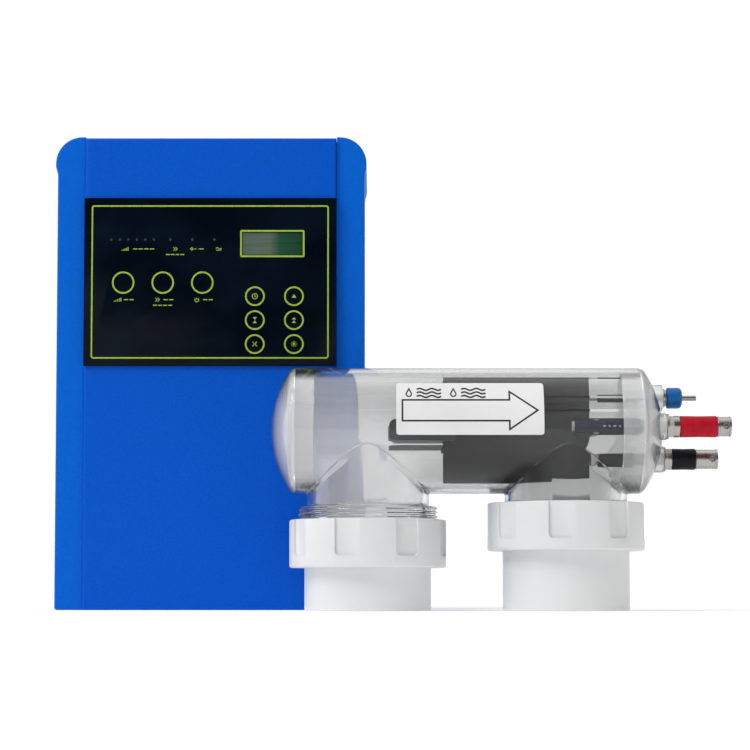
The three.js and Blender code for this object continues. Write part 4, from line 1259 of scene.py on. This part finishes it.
@dataclass
class CellHousing(Assembly):
    """The clear tube with its threaded ports and domed caps."""

    body: str = "cell"
    tube_wall: float = 0.0035
    port_radius: float = 0.0435
    port_wall: float = 0.004
    collar_length: float = 0.019
    thread_depth: float = 0.0013
    pitch: float = 0.003
    turns: int = 5
    rim: float = 0.003
    shoulder_radius: float = 0.006
    dome_rise: float = 0.015
    cap_wall: float = 0.005
    spigot: float = 0.014
    boss_radius: float = 0.0095
    boss_proud: float = 0.0007
    boss_depth: float = 0.00825
    bead: float = 0.0007
    steps: int = 128

    def __post_init__(self) -> None:
        """Reads the housing's places from the frame."""
        self.tube = Extent.of("cell_body")
        cap = Extent.of("left_end_cap")
        self.radius = cap.size.z / 2
        self.centre = Vector((0, cap.middle.y, cap.middle.z))
        self.ports = [Extent.of(node).middle.x for node in ("inlet_tail", "outlet_tail")]
        self.crest = self.tube.size.y / 2

    def thread(self) -> Object:
        """Winds the thread of a port about the origin's upright axis."""
        root, tip = self.crest - self.thread_depth, self.crest
        start = self.tube.low.z + 0.0022
        profile = [
            (root - 0.0004, start - 0.0013),
            (tip, start - 0.0004),
            (tip, start + 0.0004),
            (root - 0.0004, start + 0.0013),
        ]
        piece = outline("thread", [Axis.Z.place(out, up) for out, up in profile])
        finish_modifier(
            piece,
            "SCREW",
            axis="Z",
            angle=math.tau,
            screw_offset=self.pitch,
            iterations=self.turns,
            steps=72,
            render_steps=72,
        )
        with editing(piece):
            bpy.ops.mesh.select_mode(type="EDGE")
            bpy.ops.mesh.select_non_manifold()
            bpy.ops.mesh.fill_holes(sides=4)
        close_up(piece)
        return piece

    def saddle(self, x: float) -> Object:
        """Lays a round bead of cement along the curve where a port meets the tube.

        Args:
            x: place of the port's axis.

        Returns:
            The bead, as a closed ring.
        """
        places = []
        for k in range(self.steps):
            turn = math.tau * k / self.steps
            across, ahead = self.port_radius * math.sin(turn), -self.port_radius * math.cos(turn)
            drop = math.sqrt(self.radius**2 - ahead**2)
            places.append(Vector((x + across, self.centre.y + ahead, self.centre.z - drop)))
        piece = outline("saddle", places)
        activate(piece)
        bpy.ops.object.convert(target="CURVE")
        piece = bpy.context.active_object
        piece.data.bevel_depth = self.bead
        piece.data.bevel_resolution = 2
        bpy.ops.object.convert(target="MESH")
        piece = bpy.context.active_object
        close_up(piece)
        return piece

    def port(self, x: float) -> Object:
        """Makes one solid port with its threaded collar, up to the tube's centre line."""
        low, top = self.tube.low.z, self.tube.low.z + self.collar_length
        root = self.crest - self.thread_depth
        section = softened(
            [
                (0, self.centre.z, 0),
                (self.port_radius, self.centre.z, 0),
                (self.port_radius, top, 0.0015),
                (root, top - 0.001, 0.0006),
                (root, low, 0.0008),
                (0, low, 0),
            ]
        )
        piece = turned("port", section, Axis.Z, Vector((x, self.centre.y, 0)), self.steps)
        thread = self.thread()
        thread.data.transform(Matrix.Translation((x, self.centre.y, 0)))
        return combine(piece, Blend.JOIN, thread)

    def tube_and_ports(self) -> None:
        """Moulds the tube and both ports in one."""
        start, end = self.tube.low.x, self.tube.high.x
        section = softened([(0, start, 0), (self.radius, start, 0.0005), (self.radius, end, 0.0005), (0, end, 0)])
        piece = turned("clear_tube", section, Axis.X, self.centre, self.steps)
        combine(piece, Blend.JOIN, *[self.port(x) for x in self.ports])
        bore = self.radius - self.tube_wall
        begin, finish = start - OVERSHOOT, end + OVERSHOOT
        inside = turned(
            "bore", [(0, begin), (bore, begin), (bore, finish), (0, finish)], Axis.X, self.centre, self.steps
        )
        passage = self.port_radius - self.port_wall
        low = self.tube.low.z - OVERSHOOT
        passages = [
            turned(
                "passage",
                [(0, low), (passage, low), (passage, self.centre.z), (0, self.centre.z)],
                Axis.Z,
                Vector((x, self.centre.y, 0)),
                self.steps,
            )
            for x in self.ports
        ]
        combine(piece, Blend.CUT, inside, *passages)
        combine(piece, Blend.JOIN, *[self.saddle(x) for x in self.ports])
        close_up(piece)
        self.fit(piece, self.body, CLEAR, "cell_body", smooth=30)

    def dome(self, tip: float, wall: float, outer: float, steps: int = 14) -> list[Point]:
        """Draws a dome's half section from its rim to the axis.

        Args:
            tip: place along X of the outer dome's highest point.
            wall: how far inside the outer dome it runs.
            outer: its distance from the axis at the rim.
            steps: facets of the curve.

        Returns:
            The section's points.
        """
        ball = (self.radius**2 + self.dome_rise**2) / (2 * self.dome_rise)
        edge = math.asin(outer / (ball - wall))
        angles = [edge * (1 - k / steps) for k in range(steps + 1)]
        return [((ball - wall) * math.sin(a), tip - ball + (ball - wall) * math.cos(a)) for a in angles]

    def cap(self, name: str) -> Object:
        """Turns a domed cap with its spigot, for the tube's +X end."""
        end = self.tube.high.x
        tip = end + self.rim + self.dome_rise
        plug = self.radius - self.tube_wall - 0.0002
        inner = plug - self.cap_wall / 2
        seat = end + GAP
        outer = self.dome(tip, 0.0, self.radius)
        shoulder = softened(
            [(self.radius, seat + 0.0003, 0), (*outer[0], self.shoulder_radius), (*outer[1], 0)]
        )
        section = [
            *reversed(self.dome(tip, self.cap_wall, inner)),
            (inner, end - self.spigot),
            (plug - 0.0006, end - self.spigot),
            (plug, end - self.spigot + 0.0006),
            (plug, seat),
            (self.radius - 0.0003, seat),
            *shoulder,
            *outer[2:],
        ]
        return turned(name, section, Axis.X, self.centre, self.steps)

    def caps(self, studs: Sequence[tuple[Extent, float]]) -> None:
        """Makes the plain left cap and the right one with its bosses.

        Args:
            studs: the box of a round piece on each stud, and the radius of its bore.
        """
        plain = self.cap("right_dome")
        flip = self.tube.low.x + self.tube.high.x
        mirror = Matrix.Translation((flip, 0, 0)) @ Matrix.Diagonal((-1, 1, 1, 1))
        left = copied(plain, "left_dome", mirror)
        self.fit(left, self.body, CAP_CLEAR, "left_end_cap", smooth=30)
        tip = self.tube.high.x + self.rim + self.dome_rise
        start, end = tip - self.cap_wall - self.boss_depth, tip + self.boss_proud
        for stud, bore in studs:
            centre = Vector((0, stud.middle.y, stud.middle.z))
            section = softened(
                [(0, start, 0), (self.boss_radius, start, 0.0008), (self.boss_radius, end, 0.0004), (0, end, 0)]
            )
            boss = turned("boss", section, Axis.X, centre, 64)
            begin, finish = start - OVERSHOOT, end + OVERSHOOT
            hole = turned("hole", [(0, begin), (bore, begin), (bore, finish), (0, finish)], Axis.X, centre, 32)
            combine(plain, Blend.JOIN, boss)
            combine(plain, Blend.CUT, hole)
        close_up(plain)
        self.fit(plain, self.body, CAP_CLEAR, "right_end_cap", smooth=30)


@dataclass
class FlowLabel(Assembly):
    """The sticker round the front of the tube, with the flow arrow."""

    body: str = "cell"
    corner: float = 0.002
    thickness: float = 0.0003
    slice: float = 0.0015
    line: float = 0.0012
    pen: float = 0.0012

    def __post_init__(self) -> None:
        """Reads the sticker's place and the tube's axis from the frame."""
        self.box = Extent.of("flow_label")
        tube = Extent.of("left_end_cap")
        self.axis = tube.middle
        self.radius = tube.size.z / 2

    def wrapped(self, flat: Object, rise: float, thickness: float) -> Object:
        """Lays a flat piece on the tube and gives it a thickness.

        Args:
            flat: flat faces in x and z, in front of the tube.
            rise: how far from the tube they lie.
            thickness: how thick they become, outwards.

        Returns:
            The piece.
        """
        with editing(flat):
            for k in range(1, int(self.box.size.z / self.slice) + 1):
                bpy.ops.mesh.select_all(action="SELECT")
                level = (self.box.middle.x, 0, self.box.low.z + k * self.slice)
                bpy.ops.mesh.bisect(plane_co=level, plane_no=(0, 0, 1))
        start, end = self.box.low.x - 0.01, self.box.high.x + 0.01
        radius = self.radius + rise
        section = [(0, start), (radius, start), (radius, end), (0, end)]
        former = turned("former", section, Axis.X, Vector((0, self.axis.y, self.axis.z)), 256)
        finish_modifier(
            flat,
            "SHRINKWRAP",
            target=former,
            wrap_method="PROJECT",
            use_project_y=True,
            use_negative_direction=True,
            use_positive_direction=True,
        )
        bpy.data.objects.remove(former)
        with editing(flat):
            bpy.ops.mesh.select_all(action="SELECT")
            bpy.ops.mesh.normals_make_consistent(inside=False)
        if sum(face.normal.y * face.area for face in flat.data.polygons) > 0:
            flat.data.flip_normals()
        finish_modifier(flat, "SOLIDIFY", thickness=thickness, offset=1)
        close_up(flat)
        return flat

    def build(self) -> None:
        """Makes the sticker and its print."""
        low, high, middle = self.box.low, self.box.high, self.box.middle
        front = low.y - 0.01
        points = rectangle(middle.x, middle.z, high.x - low.x, high.z - low.z, self.corner)
        sticker = outline("label_sheet", upright(points, front), filled=True)
        self.fit(self.wrapped(sticker, 0.0001, self.thickness), self.body, VINYL, "flow_label")
        art = Artwork("label_print", front)
        self.arrow(art)
        self.caption(art)
        self.fit(self.wrapped(art.sheet(), 0.0001 + self.thickness - 0.00002, 0.00006), self.body, LABEL_INK)

    def arrow(self, art: Artwork) -> None:
        """Draws the outline arrow that points along the flow."""
        left, right = self.box.low.x + 0.0037, self.box.high.x - 0.0034
        middle = self.box.low.z + 0.0172
        neck, shaft, head = right - 0.0212, 0.008, 0.0146
        points = [
            (left, middle - shaft),
            (neck, middle - shaft),
            (neck, middle - head),
            (right, middle),
            (neck, middle + head),
            (neck, middle + shaft),
            (left, middle + shaft),
        ]
        art.frame(points, self.line)

    def caption(self, art: Artwork) -> None:
        """Draws a row of drops and waves above the arrow."""
        left, z = self.box.low.x + 0.0088, self.box.high.z - 0.0068
        for k in range(2):
            x = left + k * 0.031
            drop = [(x, z + 0.0036)] + arc((x, z - 0.0012), 0.0023, 20, -200, 16)
            art.frame(drop, self.pen * 0.8)
            for row in (-1, 0, 1):
                wave = [
                    (x + 0.0055 + 0.017 * t, z - 0.0004 + row * 0.0026 + 0.0007 * math.sin(math.tau * 2 * t))
                    for t in (step / 20 for step in range(21))
                ]
                art.stroke(wave, self.pen)


@dataclass
class ElectrodeStack(Assembly):
    """The plates, their comb, and the sleeved studs inside the cell."""

    body: str = "cell"
    stud_radius: float = 0.004
    sheath_fit: float = 0.00025
    marks: int = 7
    mark_apart: float = 0.0036

    def sheath(self, node: str, finish: Finish, notch: Object | None = None) -> None:
        """Shrinks sleeving on a stud.

        Args:
            node: the CAD node that it stands for.
            finish: its finish.
            notch: what is cut out of it, if anything is.
        """
        box = Extent.of(node)
        outer = box.size.z / 2
        inner = Extent.of("sensor_pin").size.z / 2 if "sensor" in node else self.stud_radius
        inner += self.sheath_fit
        section = softened(
            [
                (inner, box.low.x, 0),
                (outer - 0.0001, box.low.x, 0.0004),
                (outer, box.middle.x, 0),
                (outer - 0.0001, box.high.x, 0.0004),
                (inner, box.high.x, 0),
            ]
        )
        piece = turned(node + "_tube", section, Axis.X, Vector((0, box.middle.y, box.middle.z)), 40)
        if notch:
            combine(piece, Blend.CUT, notch)
        self.fit(piece, self.body, finish, node)

    def build(self) -> None:
        """Dresses the plates and makes the sleeving."""
        self.keep(PLATE_COAT, "anode_plate_1", "cathode_plate_2", "anode_plate_3", "cathode_plate_4", "anode_plate_5")
        self.keep(BLACK_NYLON, "plate_comb")
        self.keep(TITANIUM, "anode_stud", "cathode_stud", "sensor_pin")
        anode = Extent.of("anode_shrink")
        plate = Extent.of("anode_plate_1")
        reach = 0.005 + GAP
        notch_end = plate.high.x + 0.0036
        notch = block(
            "notch",
            (plate.high.x, anode.middle.y - self.stud_radius - self.sheath_fit, anode.middle.z - reach),
            (notch_end, anode.high.y + OVERSHOOT, anode.middle.z + reach),
        )
        self.sheath("anode_shrink", NAVY_SHRINK, notch)
        art = Artwork("shrink_print", anode.low.y + 0.00008, 0.0001)
        for k in range(self.marks):
            art.bar(notch_end + (k + 1) * self.mark_apart, anode.middle.z, self.mark_apart * (0.6, 0.35)[k % 2], 0.0011)
        self.fit(art.printed(), self.body, SHRINK_INK)
        self.sheath("cathode_shrink", BLACK_SHRINK)
        self.sheath("sensor_shrink", BLACK_SHRINK)


@dataclass
class Terminals(Assembly):
    """Nuts, bayonet connectors, sleeves and the sensor's cap, outside the right cap."""

    body: str = "cell"
    washer: float = 0.0014
    stud_radius: float = 0.004
    stud_fit: float = 0.00025
    collar_wall: float = 0.0011
    collar_fit: float = 0.00025
    lug_radius: float = 0.0015
    lug_inset: float = 0.004
    socket_depth: float = 0.009
    stud_reach: float = 0.005
    shell_wall: float = 0.0011
    pin_radius: float = 0.0008

    def nuts(self, node: str, bore: float) -> None:
        """Makes a washer, a hexagon nut and a round nut, drawn up on each other.

        Args:
            node: the CAD node that they stand for.
            bore: radius of the hole through them.
        """
        box = Extent.of(node)
        radius = box.size.z / 2
        start, end = box.low.x, box.high.x
        centre = Vector((0, box.middle.y, box.middle.z))
        middle = (start + end + self.washer) / 2
        washer = turned(
            node + "_stack",
            softened(
                [
                    (0, start, 0),
                    (radius, start, 0.0003),
                    (radius, start + self.washer, 0.0003),
                    (0, start + self.washer, 0),
                ]
            ),
            Axis.X,
            centre,
            64,
        )
        hexagon = pushed(
            "hexagon",
            [
                Vector((start + self.washer / 2, centre.y + y, centre.z + z))
                for y, z in arc((0, 0), 0.94 * radius, 0, 300, 5)
            ],
            Vector((middle - start - self.washer / 2, 0, 0)),
        )
        chamfer = turned(
            "chamfer",
            softened([(0, start, 0), (0.94 * radius, start, 0), (0.94 * radius, middle - 0.0006, 0), (0.84 * radius, middle, 0), (0, middle, 0)]),
            Axis.X,
            centre,
            64,
        )
        combine(hexagon, Blend.KEEP, chamfer)
        ring = turned(
            "ring",
            softened(
                [
                    (0, middle - self.washer / 4, 0),
                    (0.86 * radius, middle - self.washer / 4, 0),
                    (0.86 * radius, end, 0.0005),
                    (0, end, 0),
                ]
            ),
            Axis.X,
            centre,
            64,
        )
        hole = turned(
            "hole",
            [(0, start - OVERSHOOT), (bore, start - OVERSHOOT), (bore, end + OVERSHOOT), (0, end + OVERSHOOT)],
            Axis.X,
            centre,
            40,
        )
        combine(washer, Blend.JOIN, hexagon, ring)
        combine(washer, Blend.CUT, hole)
        self.fit(washer, self.body, NICKEL, node)

    def connector(self, name: str) -> None:
        """Turns a bayonet connector's body with its socket and contact pin."""
        box = Extent.of(name + "_connector")
        ring = Extent.of(name + "_collar")
        outer = ring.size.z / 2 - self.collar_wall - self.collar_fit
        inner = outer - self.shell_wall
        start, end = box.low.x, box.high.x
        floor = end - self.socket_depth
        thread = self.stud_radius + self.stud_fit
        section = [
            (0, start + self.stud_reach),
            (thread, start + self.stud_reach),
            (thread, start),
            *softened([(outer, start, 0.0003), (outer, end, 0.0004), (inner, end, 0.0003)])[:15],
            (inner, floor),
            (self.pin_radius, floor),
            (self.pin_radius, end - 0.002),
            (0, end - 0.0015),
        ]
        centre = Vector((0, box.middle.y, box.middle.z))
        piece = turned(name + "_bayonet_body", section, Axis.X, centre, 64)
        self.fit(piece, self.body, NICKEL, name + "_connector")

    def collar(self, name: str) -> None:
        """Turns the bayonet collar and drills its two lug holes."""
        node = name + "_collar"
        box = Extent.of(node)
        outer = box.size.z / 2
        inner = outer - self.collar_wall
        start, end = box.low.x, box.high.x
        section = softened(
            [
                (inner, start, 0.0002),
                (outer, start, 0.0004),
                (outer, start + 0.0012, 0),
                (outer - 0.0003, start + 0.0015, 0),
                (outer - 0.0003, end - 0.0017, 0),
                (outer, end - 0.0014, 0),
                (outer, end, 0.0005),
                (inner, end, 0.0003),
            ]
        )
        centre = Vector((0, box.middle.y, box.middle.z))
        piece = turned(name + "_bayonet_ring", section, Axis.X, centre, 96)
        low, high = box.low.y - OVERSHOOT, box.high.y + OVERSHOOT
        hole = turned(
            "lug_hole",
            [(0, low), (self.lug_radius, low), (self.lug_radius, high), (0, high)],
            Axis.Y,
            Vector((end - self.lug_inset, 0, box.middle.z)),
            32,
        )
        rim, skin = self.lug_radius + 0.0008, Vector((end - self.lug_inset, 0, box.middle.z))
        for side in (-1, 1):
            ends = [box.middle.y + side * reach for reach in (inner + self.collar_wall / 3, outer)]
            boss = [(0, ends[0]), (rim, ends[0]), (rim, ends[1]), (0, ends[1])]
            combine(piece, Blend.JOIN, turned("lug_rim", boss, Axis.Y, skin, 32))
        combine(piece, Blend.CUT, hole)
        self.fit(piece, node, NICKEL, node)

    def sleeve(self, name: str, finish: Finish) -> None:
        """Slides the coloured sleeve on a connector."""
        node = name + "_sleeve"
        box = Extent.of(node)
        ring = Extent.of(name + "_collar")
        outer = box.size.z / 2
        inner = ring.size.z / 2 - self.collar_wall - self.collar_fit + 0.0002
        start, end = box.low.x, box.high.x
        section = softened(
            [
                (inner, start, 0.0001),
                (outer, start, 0.0006),
                (outer - 0.0002, (start + end) / 2, 0),
                (outer, end, 0.0006),
                (inner, end, 0.0001),
            ]
        )
        centre = Vector((0, box.middle.y, box.middle.z))
        self.fit(turned(name + "_cover_sleeve", section, Axis.X, centre, 64), self.body, finish, node)

    def sensor(self) -> None:
        """Turns the blue cap on the sensor's terminal."""
        box = Extent.of("sensor_cap")
        radius = box.size.z / 2
        bore = Extent.of("sensor_pin").size.z / 2 + self.stud_fit
        start, end = box.low.x, box.high.x
        section = softened(
            [
                (bore, start, 0),
                (radius, start, 0.0006),
                (radius, end, 0.0028),
                (bore, end, 0.0003),
            ],
            steps=6,
        )
        centre = Vector((0, box.middle.y, box.middle.z))
        self.fit(turned("sensor_terminal_cap", section, Axis.X, centre, 64), self.body, BLUE_CAP, "sensor_cap")

    def build(self) -> None:
        """Makes everything on the three studs."""
        for name, finish in (("anode", RED_SLEEVE), ("cathode", BLACK_SHRINK)):
            self.nuts(name + "_nut", self.stud_radius + self.stud_fit)
            self.connector(name)
            self.collar(name)
            self.sleeve(name, finish)
        self.nuts("sensor_nut", Extent.of("sensor_pin").size.z / 2 + self.stud_fit)
        self.sensor()


@dataclass
class Union(Assembly):
    """One pipe union: fluted nut, flanged tail, slip ring and seal."""

    name: str = "inlet"
    phase: float = -15.0
    tail_radius: float = 0.045
    pipe_radius: float = 0.03765
    pipe_stop: float = 0.03450
    socket_depth: float = 0.042
    lip: float = 0.0025
    flange: float = 0.0066
    nut_lip: float = 0.004
    nut_fit: float = 0.0005
    nut_wall: float = 0.0055
    flutes: int = 8
    flute_width: float = 0.0175
    flute_depth: float = 0.0024
    flute_rise: float = 0.008
    flute_corner: float = 0.0035
    groove_inset: float = 0.006
    groove_half: float = 0.00195
    groove_depth: float = 0.0032
    steps: int = 128

    def __post_init__(self) -> None:
        """Reads the union's places from the frame."""
        self.nut_box = Extent.of(self.name + "_nut")
        self.tail_box = Extent.of(self.name + "_tail")
        self.centre = Vector((self.tail_box.middle.x, self.tail_box.middle.y, 0))

    def nut(self) -> None:
        """Turns the nut and sinks its flutes."""
        low, high = self.nut_box.low.z, self.nut_box.high.z
        outer = Extent.of("cell_body").size.y / 2 + self.nut_fit + self.nut_wall
        bore = outer - self.nut_wall
        throat = self.tail_radius + self.nut_fit
        section = softened(
            [
                (throat, low, 0.0004),
                (outer, low, 0.0016),
                (outer, high, 0.0014),
                (bore, high, 0.0006),
                (bore, low + self.nut_lip, 0.0004),
                (throat, low + self.nut_lip, 0.0003),
            ]
        )
        piece = turned(self.name + "_union_nut", section, Axis.Z, self.centre, self.steps)
        half, rise = self.flute_width / 2, low + self.flute_rise
        above = high + OVERSHOOT
        drawn = softened(
            [(-half, above, 0), (-half, rise, self.flute_corner), (half, rise, self.flute_corner), (half, above, 0)], 6
        )
        front = self.centre.y - outer - OVERSHOOT
        places = [Vector((self.centre.x + x, front, z)) for x, z in drawn]
        first = pushed("flute", places, Vector((0, OVERSHOOT + self.flute_depth, 0)))
        around = Matrix.Translation(self.centre)
        cutters = []
        for k in range(self.flutes):
            turn = math.radians(self.phase + k * 360 / self.flutes)
            cutters.append(copied(first, "flute", around @ Matrix.Rotation(turn, 4, "Z") @ around.inverted()))
        bpy.data.objects.remove(first)
        combine(piece, Blend.CUT, gathered("flutes", cutters))
        with editing(piece):
            bpy.ops.mesh.select_all(action="SELECT")
            bpy.ops.mesh.remove_doubles(threshold=0.00002)
        eased(piece, 0.0005, 2, 28)
        self.fit(piece, self.name + "_nut", PVC, self.name + "_nut", smooth=40)

    def tail(self) -> None:
        """Turns the tail: barrel, flange with its seal groove, and the socket for the pipe."""
        low, top = self.tail_box.low.z, self.tail_box.high.z
        under = top - self.flange
        edge = self.tail_radius + self.lip
        groove = edge - self.groove_inset
        section = softened(
            [
                (self.pipe_radius, low, 0.0012),
                (self.tail_radius, low, 0.0012),
                (self.tail_radius, under, 0.0004),
                (edge, under, 0.0004),
                (edge, top, 0.0004),
                (groove + self.groove_half, top, 0),
                (groove + self.groove_half, top - self.groove_depth, 0),
                (groove - self.groove_half, top - self.groove_depth, 0),
                (groove - self.groove_half, top, 0),
                (self.pipe_stop, top, 0.0004),
                (self.pipe_stop, low + self.socket_depth, 0.0002),
                (self.pipe_radius, low + self.socket_depth, 0.0004),
            ]
        )
        piece = turned(self.name + "_pipe_tail", section, Axis.Z, self.centre, self.steps)
        self.fit(piece, "cell", PVC, self.name + "_tail")

    def rings(self) -> None:
        """Makes the seal and dresses the slip ring."""
        box = Extent.of(self.name + "_o_ring")
        middle = self.tail_radius + self.lip - self.groove_inset
        half = box.size.z / 2
        points = arc((middle, box.middle.z), half, 0, 345, 23)
        seal = turned(self.name + "_seal", points, Axis.Z, self.centre, 96)
        self.fit(seal, "cell", RUBBER, self.name + "_o_ring")
        ring = Extent.of(self.name + "_slip_ring")
        section = softened(
            [
                (self.tail_radius + self.nut_fit, ring.low.z, 0.0002),
                (ring.size.x / 2, ring.low.z, 0.0003),
                (ring.size.x / 2, ring.high.z, 0.0003),
                (self.tail_radius + self.nut_fit, ring.high.z, 0.0002),
            ]
        )
        slip = turned(self.name + "_thrust_ring", section, Axis.Z, self.centre, 96)
        self.fit(slip, self.name + "_slip_ring", RING_PVC, self.name + "_slip_ring")

    def build(self) -> None:
        """Makes the whole union."""
        self.nut()
        self.tail()
        self.rings()


@dataclass
class Studio:
    """The pale floor, the soft light and the camera."""

    floor_size: float = 60.0
    distance: float = 1.643
    eye_height: float = 0.014
    eye_side: float = -0.0059
    rise: float = 0.1
    pitch: float = 3.64
    lens: float = 106.5

    def floor(self) -> None:
        """Lays a plain white floor."""
        bpy.ops.mesh.primitive_plane_add(size=self.floor_size)
        floor = bpy.context.active_object
        floor.name = "studio_floor"
        sheet = Sheet("studio_floor")
        sheet.fix(Base_Color=(0.8, 0.8, 0.8, 1.0), Roughness=1.0, Specular_IOR_Level=0.0)
        sheet.fix(Emission_Color=(1.0, 1.0, 1.0, 1.0), Emission_Strength=0.34)
        floor.data.materials.append(sheet.material)

    def sun(self, name: str, strength: float, azimuth: float, elevation: float, softness: float) -> None:
        """Hangs a broad soft light, far away in a direction given in degrees; azimuth 0 is in front."""
        data = bpy.data.lights.new(name, "SUN")
        data.energy = strength
        data.angle = math.radians(softness)
        lamp = bpy.data.objects.new(name, data)
        around, up = math.radians(azimuth), math.radians(elevation)
        away = Vector((math.sin(around) * math.cos(up), -math.cos(around) * math.cos(up), math.sin(up)))
        lamp.location = away * 3
        lamp.rotation_mode = "QUATERNION"
        lamp.rotation_quaternion = away.to_track_quat("Z", "Y")
        bpy.context.scene.collection.objects.link(lamp)

    def surroundings(self) -> None:
        """Sets a white room: dimmer as a light, dark where the panel would mirror it, grey beside clear pieces."""
        world = bpy.data.worlds.new("studio")
        bpy.context.scene.world = world
        world.use_nodes = True
        tree = world.node_tree
        tree.nodes.clear()
        join = tree.links.new
        path, place = tree.nodes.new("ShaderNodeLightPath"), tree.nodes.new("ShaderNodeTexCoord")
        split = tree.nodes.new("ShaderNodeSeparateXYZ")
        join(place.outputs["Generated"], split.inputs["Vector"])
        depth = split.outputs["Y"]
        straight = tree.nodes.new("ShaderNodeMath")
        straight.operation = "ABSOLUTE"
        join(depth, straight.inputs[0])

        def room(source: NodeSocket | None, dark: Point, bright: Point) -> NodeSocket:
            """Makes one version of the room, by a direction: each end is a place and a brightness."""
            lit = tree.nodes.new("ShaderNodeBackground")
            lit.inputs["Color"].default_value = (1.0, 1.0, 1.0, 1.0)
            lit.inputs["Strength"].default_value = bright[1]
            if source:
                spread = tree.nodes.new("ShaderNodeMapRange")
                spread.interpolation_type = "SMOOTHSTEP"
                for name, value in zip(("From Min", "To Min", "From Max", "To Max"), (*dark, *bright)):
                    spread.inputs[name].default_value = value
                join(source, spread.inputs["Value"])
                join(spread.outputs["Result"], lit.inputs["Strength"])
            return lit.outputs[0]

        seen = room(None, (0.0, 1.05), (0.0, 1.05))
        for rays, version in (
            ("Is Diffuse Ray", room(None, (0.0, 0.38), (0.0, 0.38))),
            ("Is Glossy Ray", room(depth, (-0.5, 0.03), (0.25, 0.85))),
            ("Is Transmission Ray", room(straight.outputs[0], (0.5, 0.3), (0.93, 1.05))),
        ):
            mix = tree.nodes.new("ShaderNodeMixShader")
            join(path.outputs[rays], mix.inputs[0])
            join(seen, mix.inputs[1])
            join(version, mix.inputs[2])
            seen = mix.outputs[0]
        output = tree.nodes.new("ShaderNodeOutputWorld")
        join(seen, output.inputs["Surface"])

    def camera(self) -> None:
        """Places the camera low in front, looking slightly up, with its view raised to keep uprights parallel."""
        data = bpy.data.cameras.new("camera")
        data.lens = self.lens
        data.sensor_width = 36.0
        data.shift_y = self.rise
        data.clip_end = 200.0
        camera = bpy.data.objects.new("camera", data)
        camera.location = (self.eye_side, -self.distance, self.eye_height)
        camera.rotation_euler = (math.radians(90 + self.pitch), 0, 0)
        bpy.context.scene.collection.objects.link(camera)
        bpy.context.scene.camera = camera

    def build(self) -> None:
        """Sets up the whole studio."""
        self.camera()
        self.floor()
        self.sun("key_light", 1.45, -52, 46, 30)
        self.sun("top_light", 0.5, 20, 80, 60)
        self.sun("side_light", 0.45, -97, 16, 40)
        self.surroundings()
        bpy.context.scene.view_settings.view_transform = "Standard"


def main() -> None:
    """Builds the studio and every sub-assembly."""
    logging.basicConfig(level=logging.INFO, format="%(message)s")
    Studio().build()
    box = ControlBox()
    panel = ControlPanel()
    box.cheeks()
    front = box.cover_box.low.y
    box.cover(panel.cover_openings(front - OVERSHOOT, front + box.sheet + OVERSHOOT))
    box.back()
    box.inside()
    panel.overlay()
    panel.print()
    panel.keys()
    panel.lamps()
    panel.screen()
    housing = CellHousing()
    housing.tube_and_ports()
    studs = [(Extent.of("anode_nut"), 0.00425), (Extent.of("cathode_nut"), 0.00425), (Extent.of("sensor_nut"), 0.00215)]
    housing.caps(studs)
    FlowLabel().build()
    ElectrodeStack().build()
    Terminals().build()
    Union(name="inlet", phase=-15.0).build()
    Union(name="outlet", phase=-8.0).build()


if __name__ == "__main__":
    main()
